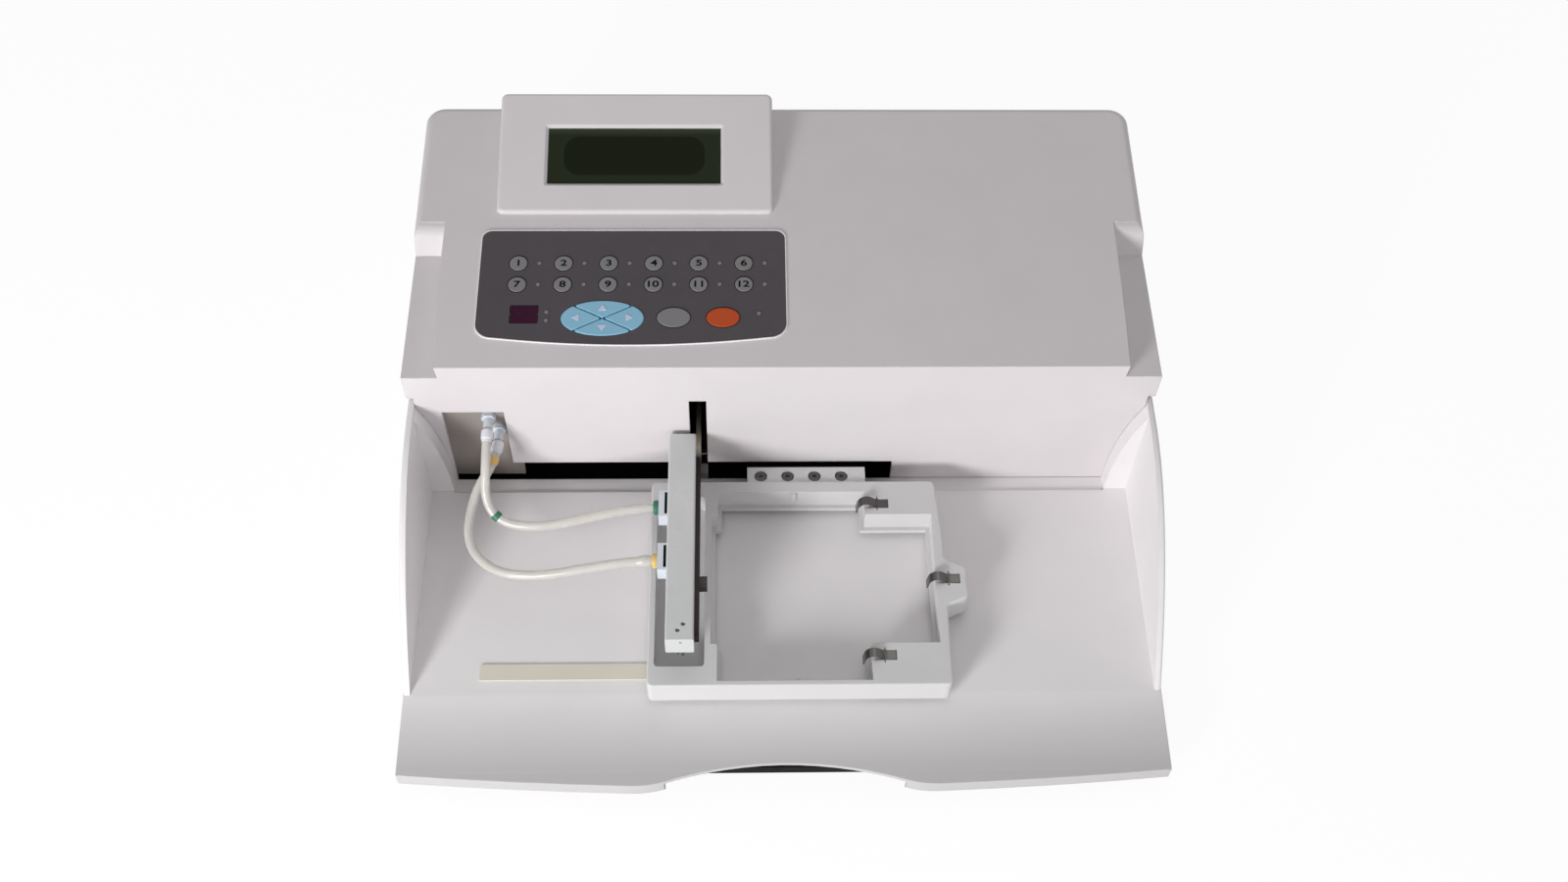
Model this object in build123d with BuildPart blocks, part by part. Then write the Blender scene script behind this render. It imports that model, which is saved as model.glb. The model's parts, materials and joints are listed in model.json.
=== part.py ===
"""Microplate washer: a moulded bench instrument with a travelling plate carrier and a lifting wash head.

Millimetres, +Z up. X runs along the carriage travel, Y from the front lip to the rear wall.
The origin is on the table, under the middle of the overall box.
"""

import os
from math import atan2, cos, degrees, radians, sin, sqrt, tan

from build123d import *

os.makedirs("parts", exist_ok=True)

# Overall sizes
body_width = 446.0
hood_setback = 208.0
shell = 3.0

# Depths along the deck, from the hood's front wall to the rear wall
keypad_setback = 22.0
keypad_depth = 77.0
display_spacing = 13.0
display_depth = 81.0
display_rear_margin = 6.0

hood_depth = keypad_setback + keypad_depth + display_spacing + display_depth + display_rear_margin
body_depth = hood_setback + hood_depth
half_width = body_width / 2
front_y = -body_depth / 2
rear_y = body_depth / 2
wall_y = front_y + hood_setback
wall_back_y = wall_y + shell

# Fits between pieces
seat_gap = 0.05
panel_gap = 0.3
key_gap = 0.25

# Levels above the table
foot_height = 10.5
base_thickness = 2.0
tray_z = 24.0
lip_drop = 2.4
ledge_drop = 1.5
skirt_lap = 7.0
parting_z = 105.0
deck_front_z = 142.0
skirt_z = foot_height
base_top_z = foot_height + base_thickness
ledge_z = tray_z - ledge_drop

# Lower housing
corner_setback = 8.0
apron_depth = 57.0
wing_knee = 126.0
wing_crest_inset = 15.0
ear_length = 10.0
ear_width = 17.0
ear_top_drop = 3.0
ear_swell = 50.0
wing_wall = 4.0
wing_rim_radius = 1.6
rear_corner_radius = 12.0
recess_half_width = 78.0
recess_depth = 13.5
recess_blend_radius = 60.0

apron_y = front_y + apron_depth
ear_y = wall_y - ear_length
tray_rear_y = wall_y - panel_gap
bay_half_width = half_width - wing_wall

# Base plate and feet
base_front_inset = 12.5
foot_diameter = 20.0
foot_side_inset = 38.0
foot_front_inset = 38.0
foot_rear_inset = 32.0

# Hood
deck_slope = 0.05
deck_front_radius = 9.0
deck_edge_radius = 5.0
grip_floor_z = 131.5
grip_length = 97.0
grip_front_inset = 22.0
grip_front_lean = 2.0
grip_rear_inset = 14.0
grip_top_inset = 18.5
grip_ramp = 9.0
arm_slot_width = 10.4
arm_slot_top_z = 107.4
hose_window_inset = 15.0
hose_window_width = 37.0
hose_window_top_z = 96.6
hose_window_left_x = -bay_half_width + hose_window_inset
hose_window_right_x = hose_window_left_x + hose_window_width

# Display housing on the deck
display_left_inset = 49.5
display_width = 168.9
display_slope = 0.245
display_step = 2.5
display_corner_radius = 4.0
display_edge_radius = 2.2
glass_width = 106.5
glass_height = 38.5
glass_shift_x = -1.0
glass_shift_y = -2.5
glass_bevel = 2.0
glass_thickness = 1.5
glass_rebate = 2.0
display_left_x = -half_width + display_left_inset
display_right_x = display_left_x + display_width

# Keypad on the deck
keypad_left_inset = 42.4
keypad_width = 182.8
keypad_bow = 6.5
keypad_front_radius = 10.0
keypad_rear_radius = 6.0
film_thickness = 0.5
key_diameter = 10.6
key_pitch_x = 27.0
key_pitch_y = 15.6
key_left_inset = 22.8
key_rear_inset = 24.6
key_rise = 0.5
key_depth = 4.0
key_dome = 0.35
lamp_diameter = 2.4
lamp_rise = 0.4
lamp_depth = 2.0
lamp_offset = 12.5
pair_lamp_pitch = 6.0
arrow_pad_half_x = 24.4
arrow_pad_half_y = 12.4
arrow_gap = 0.7
oval_half_x = 9.8
oval_half_y = 6.9
keypad_left_x = -half_width + keypad_left_inset
keypad_right_x = keypad_left_x + keypad_width
keypad_front_y = wall_y + keypad_setback
keypad_rear_y = keypad_front_y + keypad_depth
display_front_y = keypad_rear_y + display_spacing
display_rear_y = display_front_y + display_depth
key_first_x = keypad_left_x + key_left_inset
key_rear_y = keypad_rear_y - key_rear_inset
arrow_pad_x = keypad_left_x + 74.3
arrow_pad_y = keypad_front_y + 12.4
cycle_key_x = keypad_left_x + 116.2
start_key_x = keypad_left_x + 145.3
oval_key_y = keypad_front_y + 12.8
pair_lamp_x = keypad_left_x + 41.3
power_lamp_x = keypad_left_x + 166.5
power_lamp_y = keypad_front_y + 15.6

# Plate carrier: openings for a standard microplate lying either way, and the room round it
plate_length = 127.76
plate_width = 85.48
upright_side_room = 4.92
upright_end_room = 0.54
across_end_room = 7.04
across_side_room = 2.42
carrier_left_x = -80.0
carrier_height = 18.5
carrier_lift = 3.5
carrier_wall_gap = 17.5
carrier_front_rim = 3.3
carrier_rear_rim = 7.9
carrier_right_rim = 5.9
carrier_corner_radius = 3.5
carrier_edge_radius = 1.2
carrier_floor_lip = 2.4
carrier_lip_height = 3.0
carrier_taper = 3.0
carrier_taper_length = 16.0
across_front_inset = 24.0
trough_width = 29.2
trough_left_rim = 4.0
trough_front_rim = 12.7
trough_rear_rim = 11.1
trough_floor = 3.0
trough_corner_radius = 2.5
divider_width = 7.5
divider_step = 3.9
ear_tab_reach = 12.8
ear_tab_length = 32.0
ear_tab_chamfer = 6.0
ear_tab_setback = 52.0
tab_inset = 59.0
tab_width = 73.3
tab_reach = 11.5
tab_drop = 2.0
tab_thickness = 7.0
screw_inset = 8.4
screw_pitch = 16.7
screw_count = 4
screw_setback = 5.1
screw_head_diameter = 7.0
screw_head_height = 1.8
screw_head_sunk = 1.0
screw_ring_gap = 0.5
screw_socket_width = 3.2
screw_socket_depth = 1.2
screw_shank_diameter = 4.0
screw_shank_length = 6.5
glide_inset = 34.0
glide_width = 6.0
glide_length = 8.0
stop_x = 6.0
stop_width = 3.0
stop_reach = 1.6
stop_height = 7.0
stop_top_drop = 1.0

carrier_bottom_z = tray_z + carrier_lift
carrier_top_z = carrier_bottom_z + carrier_height
carrier_depth = carrier_front_rim + plate_length + upright_end_room + carrier_rear_rim
carrier_rear_y = wall_y - carrier_wall_gap
carrier_front_y = carrier_rear_y - carrier_depth
trough_left_x = carrier_left_x + trough_left_rim
trough_right_x = trough_left_x + trough_width
trough_front_y = carrier_front_y + trough_front_rim
trough_rear_y = carrier_rear_y - trough_rear_rim
portrait_left_x = trough_right_x + divider_width
portrait_right_x = portrait_left_x + plate_width + upright_side_room
portrait_front_y = carrier_front_y + carrier_front_rim
portrait_rear_y = portrait_front_y + plate_length + upright_end_room
landscape_left_x = portrait_left_x - divider_step
landscape_right_x = landscape_left_x + plate_length + across_end_room
landscape_front_y = portrait_front_y + across_front_inset
landscape_rear_y = landscape_front_y + plate_width + across_side_room
carrier_right_x = landscape_right_x + carrier_right_rim
ear_tab_right_x = carrier_right_x + ear_tab_reach
ear_tab_front_y = carrier_front_y + ear_tab_setback
ear_tab_rear_y = ear_tab_front_y + ear_tab_length
tab_left_x = carrier_left_x + tab_inset
tab_right_x = tab_left_x + tab_width
tab_rear_y = carrier_rear_y + tab_reach
tab_top_z = carrier_top_z - tab_drop
tab_bottom_z = tab_top_z - tab_thickness
screw_first_x = tab_left_x + screw_inset
screw_y = carrier_rear_y + screw_setback
glide_left_x = carrier_left_x + glide_inset

# Plate clips, sprung levers in pockets of the carrier
clip_width = 5.6
clip_thickness = 0.5
clip_pivot_offset = 7.5
clip_tail = 6.5
clip_reach = 5.0
clip_drop = 7.0
clip_arch = 3.4
clip_pocket_depth = 3.8
clip_pocket_play = 0.5
clip_pin_drop = 0.7
clip_pin_diameter = 1.4
clip_pin_reach = 3.0
clip_rear_y = portrait_rear_y - 8.6
clip_side_y = (ear_tab_front_y + ear_tab_rear_y) / 2 + 2.0
clip_front_y = portrait_front_y + 16.0

# Wash head, lifted to its travel height
head_width = 16.4
head_height = 16.0
head_lift_height = 16.0
head_trough_inset_x = 7.4
head_trough_inset_y = 0.8
head_wall_gap = 3.5
head_edge_radius = 1.2
head_hole_places = ((7.2, 6.0), (10.3, 10.0))
head_mark_inset = 9.0
head_mark_drop = 4.0
arm_thickness = 2.8
arm_lift_height = 15.6
arm_height = 12.4
arm_setback = 5.5
arm_corner_radius = 3.0
channel_count = 12
channel_pitch = 9.0
needle_spacing = 2.6
dispense_diameter = 1.2
aspirate_diameter = 1.6
dispense_tip_height = 6.2
aspirate_tip_height = 4.6
needle_seat = 8.0
fitting_rise = 6.0
fitting_depth = 5.6
fitting_width = 18.0
fitting_height = 11.0
collar_diameter = 7.6
collar_length = 3.0
supply_fitting_setback = 93.5
drain_fitting_setback = 57.0
knob_diameter = 9.0
knob_length = 4.5
knob_rise = 8.0
knob_rear_setback = 118.4
knob_front_setback = 40.1
thread_diameter = 4.0
thread_reach = 5.5

head_left_x = trough_left_x + head_trough_inset_x
head_right_x = head_left_x + head_width
head_front_y = trough_front_y + head_trough_inset_y
head_rear_y = wall_y - head_wall_gap
head_bottom_z = carrier_top_z + head_lift_height
head_top_z = head_bottom_z + head_height
arm_right_x = head_right_x + arm_thickness
arm_x = head_right_x + arm_thickness / 2
arm_front_y = head_front_y + arm_setback
arm_bottom_z = carrier_top_z + arm_lift_height
channel_centre_y = (portrait_front_y + portrait_rear_y) / 2
needle_x = head_left_x + head_width / 2
dispense_tip_z = carrier_top_z + dispense_tip_height
aspirate_tip_z = carrier_top_z + aspirate_tip_height
fitting_z = head_bottom_z + fitting_rise
supply_fitting_y = head_front_y + supply_fitting_setback
drain_fitting_y = head_front_y + drain_fitting_setback
knob_z = head_bottom_z + knob_rise
knob_rear_y = head_front_y + knob_rear_setback
knob_front_y = head_front_y + knob_front_setback

# Carriage slot in the hood's front wall
slot_end_room = 17.7
slot_above_tab = 4.3
slot_right_x = tab_right_x + slot_end_room
slot_top_z = tab_bottom_z + slot_above_tab

# Guide strip on the tray
strip_left_inset = 39.5
strip_overlap = 40.0
strip_setback = 15.0
strip_width = 10.3
strip_height = 0.8
strip_left_x = -bay_half_width + strip_left_inset
strip_right_x = carrier_left_x + strip_overlap
strip_front_y = carrier_front_y + strip_setback

# Pumps beside the right-hand wall, main board beside them
pump_side = 46.0
pump_base_height = 26.0
pump_motor_radius = 17.0
pump_motor_height = 44.0
pump_wall_gap = 24.0
pump_front_gap = 14.0
pump_pitch = 64.0
pump_nozzle_radius = 3.0
pump_nozzle_length = 9.0
pump_nozzle_offset = 10.0
board_gap = 10.0
board_rear_gap = 20.0
board_width = 110.0
board_depth = 80.0
board_thickness = 1.6
board_hole_inset = 5.0
spacer_diameter = 6.0
spacer_height = 8.0
pump_x = bay_half_width - pump_wall_gap - pump_side / 2
pump_left_x = pump_x - pump_side / 2 - pump_nozzle_length

# Carriage drive inside the housing
rail_setback = 26.0
rail_width = 15.0
rail_height = 9.0
rail_bore = 6.4
rail_bore_depth = 3.5
rail_bore_pitch = 40.0
rail_idler_gap = 14.0
rail_motor_gap = 9.0
block_width = 34.0
block_length = 60.0
block_height = 16.0
bracket_thickness = 3.0
bracket_inset = 3.0
pulley_setback = 30.0
pulley_radius = 6.4
pulley_flange_reach = 1.8
pulley_flange = 0.8
pulley_height = 8.0
pulley_teeth = 20
groove_radius = 0.55
belt_thickness = 1.2
belt_width = 6.0
belt_rise = 4.0
clamp_width = 20.0
clamp_wall = 2.4
clamp_shelf = 4.0
idler_wall_gap = 37.0
motor_side = 42.0
motor_pump_gap = 7.0
motor_bore_depth = 8.0
motor_shaft_diameter = 5.0
carriage_motor_height = 20.0
stud_collar_diameter = 10.0
stud_pin_diameter = 4.0
shaft_proud = 1.0
rail_y = wall_back_y + rail_setback
pulley_y = rail_y + pulley_setback
idler_x = -bay_half_width + idler_wall_gap
drive_pulley_x = pump_left_x - motor_pump_gap - motor_side / 2
rail_left_x = idler_x + rail_idler_gap
rail_right_x = drive_pulley_x - motor_side / 2 - rail_motor_gap
rail_length = rail_right_x - rail_left_x
block_top_z = tab_bottom_z - bracket_thickness
block_centre_x = (tab_left_x + tab_right_x) / 2
belt_z = block_top_z + belt_rise
pulley_bottom_z = belt_z - pulley_height / 2
pulley_top_z = belt_z + pulley_height / 2

# Lift behind the wall
lift_setback = 29.0
lift_block_width = 52.0
lift_block_depth = 26.0
lift_block_height = 22.0
lift_rod_diameter = 8.0
lift_rod_spacing = 36.0
lift_screw_diameter = 8.0
lift_frame_width = 64.0
lift_frame_plate = 3.0
lift_frame_back_gap = 4.0
lift_frame_front_inset = 1.0
lift_motor_height = 22.0
lift_motor_bore = 10.0
lift_motor_gap = 4.0
arm_socket_depth = 6.5
lift_y = pulley_y + lift_setback
lift_top_z = deck_front_z - shell - lift_motor_gap - lift_motor_height

# Mains inlet with its switch, and the power supply in front of it
inlet_side_inset = 73.0
inlet_width = 30.0
inlet_height = 48.0
inlet_depth = 26.0
inlet_z = 58.0
socket_width = 24.5
socket_height = 17.0
socket_chamfer = 5.0
socket_depth = 16.0
socket_drop = 9.0
pin_length = 12.0
pin_width = 2.0
pin_height = 4.0
pin_spread = 7.0
pin_offset = 2.0
rocker_width = 19.0
rocker_radius = 6.0
rocker_rise = 13.0
rocker_recess = 1.5
rocker_tilt = 8.0
supply_width = 110.0
supply_depth = 62.0
supply_shift = 5.0
supply_gap = 1.5
supply_plate = 2.0
supply_board_inset = 1.0
supply_post_inset = 5.0
supply_post_height = 5.0
supply_part_height = 24.0
inlet_x = -half_width + inlet_side_inset
supply_x = inlet_x - supply_shift
supply_y = rear_y - inlet_depth - supply_gap - supply_depth / 2

# Bottle ports in a pocket of the rear wall, and the louvres beside it
port_side_inset = 153.0
port_pitch = 28.0
port_count = 3
port_z = 52.0
port_diameter = 8.0
port_flange = 3.0
port_tail = 6.0
port_reach = 12.0
port_pocket_depth = 16.0
pocket_height = 26.0
vent_count = 9
vent_pitch = 8.0
vent_width = 3.0
vent_height = 34.0
port_first_x = half_width - port_side_inset
port_mid_x = port_first_x + port_pitch * (port_count - 1) / 2
pocket_half = port_pitch * port_count / 2
pocket_y = rear_y - port_pocket_depth

# Silicone hoses between the hose panel and the wash head
hose_diameter = 5.6
panel_thickness = 2.0
panel_margin = 6.0
panel_foot_gap = 1.5
supply_nipple_inset = 27.0
drain_nipple_inset = 32.0
nipple_reach = 7.0
nipple_flange = 3.0
nipple_flange_diameter = 9.0
nipple_tail = 8.0
nipple_supply = (hose_window_left_x + supply_nipple_inset, 89.0)
nipple_drain = (hose_window_left_x + drain_nipple_inset, 76.5)
nipple_tip_y = wall_back_y - nipple_flange - nipple_reach
supply_route = (
    (-92.0, supply_fitting_y, 68.0),
    (-150.0, front_y + 151.0, 53.5),
    (-179.5, front_y + 160.5, 56.5),
    (nipple_supply[0], front_y + 186.0, nipple_supply[1]),
)
drain_route = (
    (-92.0, drain_fitting_y, 68.0),
    (-160.0, front_y + 117.5, 51.5),
    (-189.5, front_y + 137.0, 53.0),
    (-187.0, front_y + 171.0, 62.0),
    (nipple_drain[0], front_y + 188.0, nipple_drain[1]),
)


def deck_z(y):
    """Height of the sloping deck at a distance along Y."""
    return deck_front_z + deck_slope * (y - (wall_y + deck_front_radius))


def display_z(y):
    """Height of the sloping display face."""
    return deck_z(display_front_y) + display_step + display_slope * (y - display_front_y)


def save(piece, name, colour):
    """Label one finished sub-part and write it."""
    piece.part.label = name
    piece.part.color = Color(*colour)
    export_step(piece.part, "parts/" + name + ".step")


white = (0.93, 0.93, 0.92)
light_grey = (0.75, 0.75, 0.76)
slate = (0.30, 0.29, 0.32)
black = (0.05, 0.05, 0.05)
steel = (0.62, 0.62, 0.64)
green = (0.05, 0.30, 0.12)

deck_angle = degrees(atan2(deck_slope, 1.0))
display_angle = degrees(atan2(display_slope, 1.0))
deck_up = Vector(0, -sin(radians(deck_angle)), cos(radians(deck_angle)))
display_up = Vector(0, -sin(radians(display_angle)), cos(radians(display_angle)))


def deck_plane(x, y, lift=0.0):
    """Plane lying on the deck at x, y, raised along the deck's own normal."""
    origin = Vector(x, y, deck_z(y)) + deck_up * lift
    return Plane(origin=origin, x_dir=(1, 0, 0), z_dir=deck_up)


def display_plane(x, y, lift=0.0):
    """Plane lying on the display face at x, y, raised along its normal."""
    origin = Vector(x, y, display_z(y)) + display_up * lift
    return Plane(origin=origin, x_dir=(1, 0, 0), z_dir=display_up)


def block(x0, x1, y0, y1, z0, z1):
    """Plain block between two corners, for cuts and bodies of simple pieces."""
    corner = Location(((x0 + x1) / 2, (y0 + y1) / 2, (z0 + z1) / 2))
    return corner * Box(abs(x1 - x0), abs(y1 - y0), abs(z1 - z0), mode=Mode.PRIVATE)


# Lower housing: the tray with its apron, the arched side wings and the tub behind them

bow_centre_y = (half_width**2 + corner_setback**2 - recess_half_width**2) / (2 * corner_setback)
bow_radius = sqrt(recess_half_width**2 + bow_centre_y**2)


def bowed_outline(inset, with_recess):
    """Plan outline of the lower housing: bowed front edge and round rear corners."""
    side = half_width - inset
    back = rear_y - inset
    front = front_y + inset
    corner = front + corner_setback
    corner_radius = rear_corner_radius - inset
    radius = bow_radius
    mouth = recess_half_width
    with BuildSketch() as outline:
        with BuildLine():
            if with_recess:
                RadiusArc((-side, corner), (-mouth, front), -radius)
                ThreePointArc((-mouth, front), (0, front + recess_depth), (mouth, front))
                RadiusArc((mouth, front), (side, corner), -radius)
            else:
                RadiusArc((-side, corner), (side, corner), -radius)
            Line((side, corner), (side, back - corner_radius))
            RadiusArc((side, back - corner_radius), (side - corner_radius, back), -corner_radius)
            Line((side - corner_radius, back), (-side + corner_radius, back))
            RadiusArc((-side + corner_radius, back), (-side, back - corner_radius), -corner_radius)
            Line((-side, back - corner_radius), (-side, corner))
        make_face()
        if with_recess:
            mouths = outline.vertices().filter_by(lambda v: abs(abs(v.X) - mouth) < 0.1)
            fillet(mouths, recess_blend_radius)
    return outline.sketch


with BuildPart() as lower_housing:
    with BuildSketch(Plane.YZ.offset(-half_width)):
        with BuildLine():
            Polyline(
                (front_y - 1, tray_z - lip_drop),
                (front_y + corner_setback, tray_z - lip_drop),
                (apron_y, tray_z),
            )
            wing_crest_y = wall_y - wing_crest_inset
            arch = Bezier((apron_y, tray_z), (front_y + wing_knee, parting_z), (wing_crest_y, parting_z))
            Polyline(
                arch @ 1,
                (rear_y, parting_z),
                (rear_y, skirt_z),
                (front_y - 1, skirt_z),
                (front_y - 1, tray_z - lip_drop),
            )
        make_face()
    extrude(amount=body_width)
    with BuildSketch(Plane.XY.offset(skirt_z)):
        add(bowed_outline(0, True))
    extrude(amount=parting_z, mode=Mode.INTERSECT)
    # the bay between the wings, down to the tray, and the step under the hood's front wall
    add(block(-bay_half_width, bay_half_width, apron_y, ear_y, tray_z, parting_z + 1), mode=Mode.SUBTRACT)
    with BuildSketch(Plane.XZ.offset(-(ear_y - 1))):
        with BuildLine():
            foot = bay_half_width - ear_width + ear_top_drop
            crown = parting_z - ear_top_drop
            rim = Bezier((foot, ledge_z), (foot + 0.5, ledge_z + ear_swell), (bay_half_width, crown))
            Polyline(
                rim @ 1,
                (bay_half_width, parting_z + 1),
                (-bay_half_width, parting_z + 1),
                (-bay_half_width, crown),
            )
            Bezier((-bay_half_width, crown), (-foot - 0.5, ledge_z + ear_swell), (-foot, ledge_z))
            Line((-foot, ledge_z), (foot, ledge_z))
        make_face()
    extrude(amount=-(tray_rear_y - ear_y + 1), mode=Mode.SUBTRACT)
    # the tub behind the tray, open above the base plate, where the hood's front wall drops in
    tub_depth = rear_y - shell - tray_rear_y
    with BuildSketch(Plane.XY.offset(skirt_z - 1)):
        with Locations((0, tray_rear_y + tub_depth / 2)):
            tub = Rectangle(2 * bay_half_width, tub_depth)
        fillet(tub.vertices().group_by(Axis.Y)[-1], rear_corner_radius - shell)
    extrude(amount=parting_z, mode=Mode.SUBTRACT)
    # the hollow under the tray, open to the base plate
    with BuildSketch(Plane.YZ.offset(-bay_half_width)):
        with BuildLine():
            Polyline(
                (front_y - 1, skirt_z - 1),
                (front_y - 1, tray_z - lip_drop - shell),
                (front_y + corner_setback, tray_z - lip_drop - shell),
                (apron_y, tray_z - shell),
                (tray_rear_y - shell, tray_z - shell),
                (tray_rear_y - shell, skirt_z - 1),
                close=True,
            )
        make_face()
    hollow = extrude(amount=2 * bay_half_width, mode=Mode.PRIVATE)
    with BuildSketch(Plane.XY.offset(skirt_z - 1), mode=Mode.PRIVATE) as floor_plan:
        add(bowed_outline(shell, False))
    add(hollow & extrude(floor_plan.sketch, amount=parting_z, mode=Mode.PRIVATE), mode=Mode.SUBTRACT)
    rims = lower_housing.edges().filter_by(GeomType.BEZIER)
    rims = rims.filter_by(lambda e: abs(e.center().X) > bay_half_width - 1)
    fillet(rims, wing_rim_radius)
    # the rib behind the tray stands on the base plate
    rib_front_y = tray_rear_y - shell - 1
    add(
        block(-bay_half_width, bay_half_width, rib_front_y, tray_rear_y + 1, skirt_z - 1, base_top_z),
        mode=Mode.SUBTRACT,
    )
    # a pocket in the rear wall keeps the bottle ports inside the outline
    pocket_left_x, pocket_right_x = port_mid_x - pocket_half, port_mid_x + pocket_half
    pocket_low_z, pocket_high_z = port_z - pocket_height / 2, port_z + pocket_height / 2
    add(
        block(
            pocket_left_x - shell, pocket_right_x + shell, pocket_y - shell, rear_y - shell / 2,
            pocket_low_z - shell, pocket_high_z + shell,
        )
    )
    add(
        block(pocket_left_x, pocket_right_x, pocket_y, rear_y + 1, pocket_low_z, pocket_high_z),
        mode=Mode.SUBTRACT,
    )
    with BuildSketch(Plane.XZ.offset(-pocket_y)):
        with Locations((port_mid_x, port_z)):
            with GridLocations(port_pitch, 1, port_count, 1):
                Circle(port_diameter / 2 + seat_gap)
    extrude(amount=shell + 1, both=True, mode=Mode.SUBTRACT)
    # cooling louvres and the opening for the mains inlet
    with BuildSketch(Plane.XZ.offset(-rear_y)):
        with Locations((inlet_x, inlet_z)):
            Rectangle(inlet_width + 2 * seat_gap, inlet_height + 2 * seat_gap)
        with Locations((0, inlet_z)):
            with GridLocations(vent_pitch, 1, vent_count, 1):
                SlotOverall(vent_height, vent_width, rotation=90)
    extrude(amount=shell + 1, both=True, mode=Mode.SUBTRACT)
save(lower_housing, "lower_housing", white)


# Black sheet base plate, its front edge turned up behind the finger recess
base_front_y = front_y + base_front_inset
base_half_width = bay_half_width - panel_gap
base_rear_y = rear_y - shell - panel_gap

with BuildPart() as base_plate:
    with BuildSketch(Plane.XY.offset(skirt_z)):
        with Locations((0, (base_front_y + base_rear_y) / 2)):
            sheet = Rectangle(2 * base_half_width, base_rear_y - base_front_y)
        fillet(sheet.vertices().group_by(Axis.Y)[-1], rear_corner_radius - shell)
    extrude(amount=base_thickness)
    flange_top_z = tray_z - lip_drop - shell - panel_gap
    flange_back_y = base_front_y + base_thickness
    add(block(-base_half_width, base_half_width, base_front_y, flange_back_y, skirt_z, flange_top_z))
    with Locations((idler_x, pulley_y, base_top_z)):
        collar_height = pulley_bottom_z - panel_gap - base_top_z
        stud_height = pulley_top_z + shaft_proud - base_top_z
        align = (Align.CENTER, Align.CENTER, Align.MIN)
        Cylinder(stud_collar_diameter / 2, collar_height, align=align)
        Cylinder(stud_pin_diameter / 2, stud_height, align=align)
save(base_plate, "base_plate", black)

# Four rubber feet
foot_front_y = front_y + foot_front_inset
foot_rear_y = rear_y - foot_rear_inset
with BuildPart() as rubber_feet:
    with BuildSketch():
        with Locations((0, (foot_front_y + foot_rear_y) / 2)):
            with GridLocations(2 * (half_width - foot_side_inset), foot_rear_y - foot_front_y, 2, 2):
                Circle(foot_diameter / 2)
    extrude(amount=foot_height)
    chamfer(rubber_feet.edges().group_by(Axis.Z)[0], 1.2)
save(rubber_feet, "rubber_feet", black)

# Low-friction strip that the carrier's glide foot runs on
with BuildPart() as guide_strip:
    strip_rear_y = strip_front_y + strip_width
    add(block(strip_left_x, strip_right_x, strip_front_y, strip_rear_y, tray_z, tray_z + strip_height))
    fillet(guide_strip.edges().filter_by(Axis.Z), 1.0)
save(guide_strip, "guide_strip", (0.86, 0.83, 0.76))


# Keypad openings, shared by the film and the hood

def arrow_sector(name):
    """One quarter of the elliptical arrow pad, split along its diagonals."""
    angle = atan2(arrow_pad_half_y, arrow_pad_half_x)
    reach_x, reach_y = 2 * arrow_pad_half_x, 2 * arrow_pad_half_y
    side_apex = arrow_gap / 2 / sin(angle)
    end_apex = arrow_gap / 2 / cos(angle)
    corners = {
        "right": [(side_apex, 0), (side_apex + reach_x, -reach_y), (side_apex + reach_x, reach_y)],
        "left": [(-side_apex, 0), (-side_apex - reach_x, reach_y), (-side_apex - reach_x, -reach_y)],
        "up": [(0, end_apex), (reach_x, end_apex + reach_y), (-reach_x, end_apex + reach_y)],
        "down": [(0, -end_apex), (-reach_x, -end_apex - reach_y), (reach_x, -end_apex - reach_y)],
    }
    with BuildSketch() as sector:
        Ellipse(arrow_pad_half_x, arrow_pad_half_y)
        with BuildSketch(mode=Mode.INTERSECT):
            Polygon(*corners[name], align=None)
        fillet(sector.vertices(), 0.8)
    return sector.sketch


film_x = (keypad_left_x + keypad_right_x) / 2
film_y = (keypad_front_y + keypad_rear_y) / 2
film_plane = deck_plane(film_x, film_y)
key_columns = 6
key_rows = 2
key_places = [
    (key_first_x + key_pitch_x * column, key_rear_y - key_pitch_y * row)
    for row in range(key_rows)
    for column in range(key_columns)
]
pair_lamp_y = oval_key_y - 2.0
lamp_places = [(x + lamp_offset, y) for x, y in key_places]
lamp_places += [(pair_lamp_x, pair_lamp_y), (pair_lamp_x, pair_lamp_y + pair_lamp_pitch)]
lamp_places += [(power_lamp_x, power_lamp_y)]


def on_film(x, y):
    """Film coordinates of a place on the deck."""
    return (x - film_x, (y - film_y) / cos(radians(deck_angle)))


def keypad_openings(plane):
    """Sketch of every opening for keys and lamps."""
    with BuildSketch(plane) as openings:
        with Locations(*[on_film(x, y) for x, y in key_places]):
            Circle(key_diameter / 2 + key_gap)
        with Locations(*[on_film(x, y) for x, y in lamp_places]):
            Circle(lamp_diameter / 2 + seat_gap)
        with Locations(on_film(arrow_pad_x, arrow_pad_y)):
            Ellipse(arrow_pad_half_x + key_gap, arrow_pad_half_y + key_gap)
        with Locations(on_film(cycle_key_x, oval_key_y), on_film(start_key_x, oval_key_y)):
            Ellipse(oval_half_x + key_gap, oval_half_y + key_gap)
    return openings.sketch


# Hood: deck, display housing and front wall in one moulding

def hood_form(inset, low_z):
    """Solid outer form of the hood above the parting line, drawn in by an inset."""
    side = half_width - inset
    front, back = wall_y + inset, rear_y - inset
    with BuildPart() as form:
        with BuildSketch(Plane.YZ.offset(-side)):
            with BuildLine():
                Polyline(
                    (front, low_z),
                    (front, deck_z(front) - inset),
                    (back, deck_z(back) - inset),
                    (back, low_z),
                    close=True,
                )
            profile = make_face()
            tops = profile.vertices().group_by(Axis.Y)
            fillet(tops[0].sort_by(Axis.Z)[-1], deck_front_radius - inset)
        extrude(amount=2 * side)
        corners = form.edges().filter_by(Axis.Z).filter_by(lambda e: e.center().Y > back - 1)
        fillet(corners, rear_corner_radius - inset)
    return form.part


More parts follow.
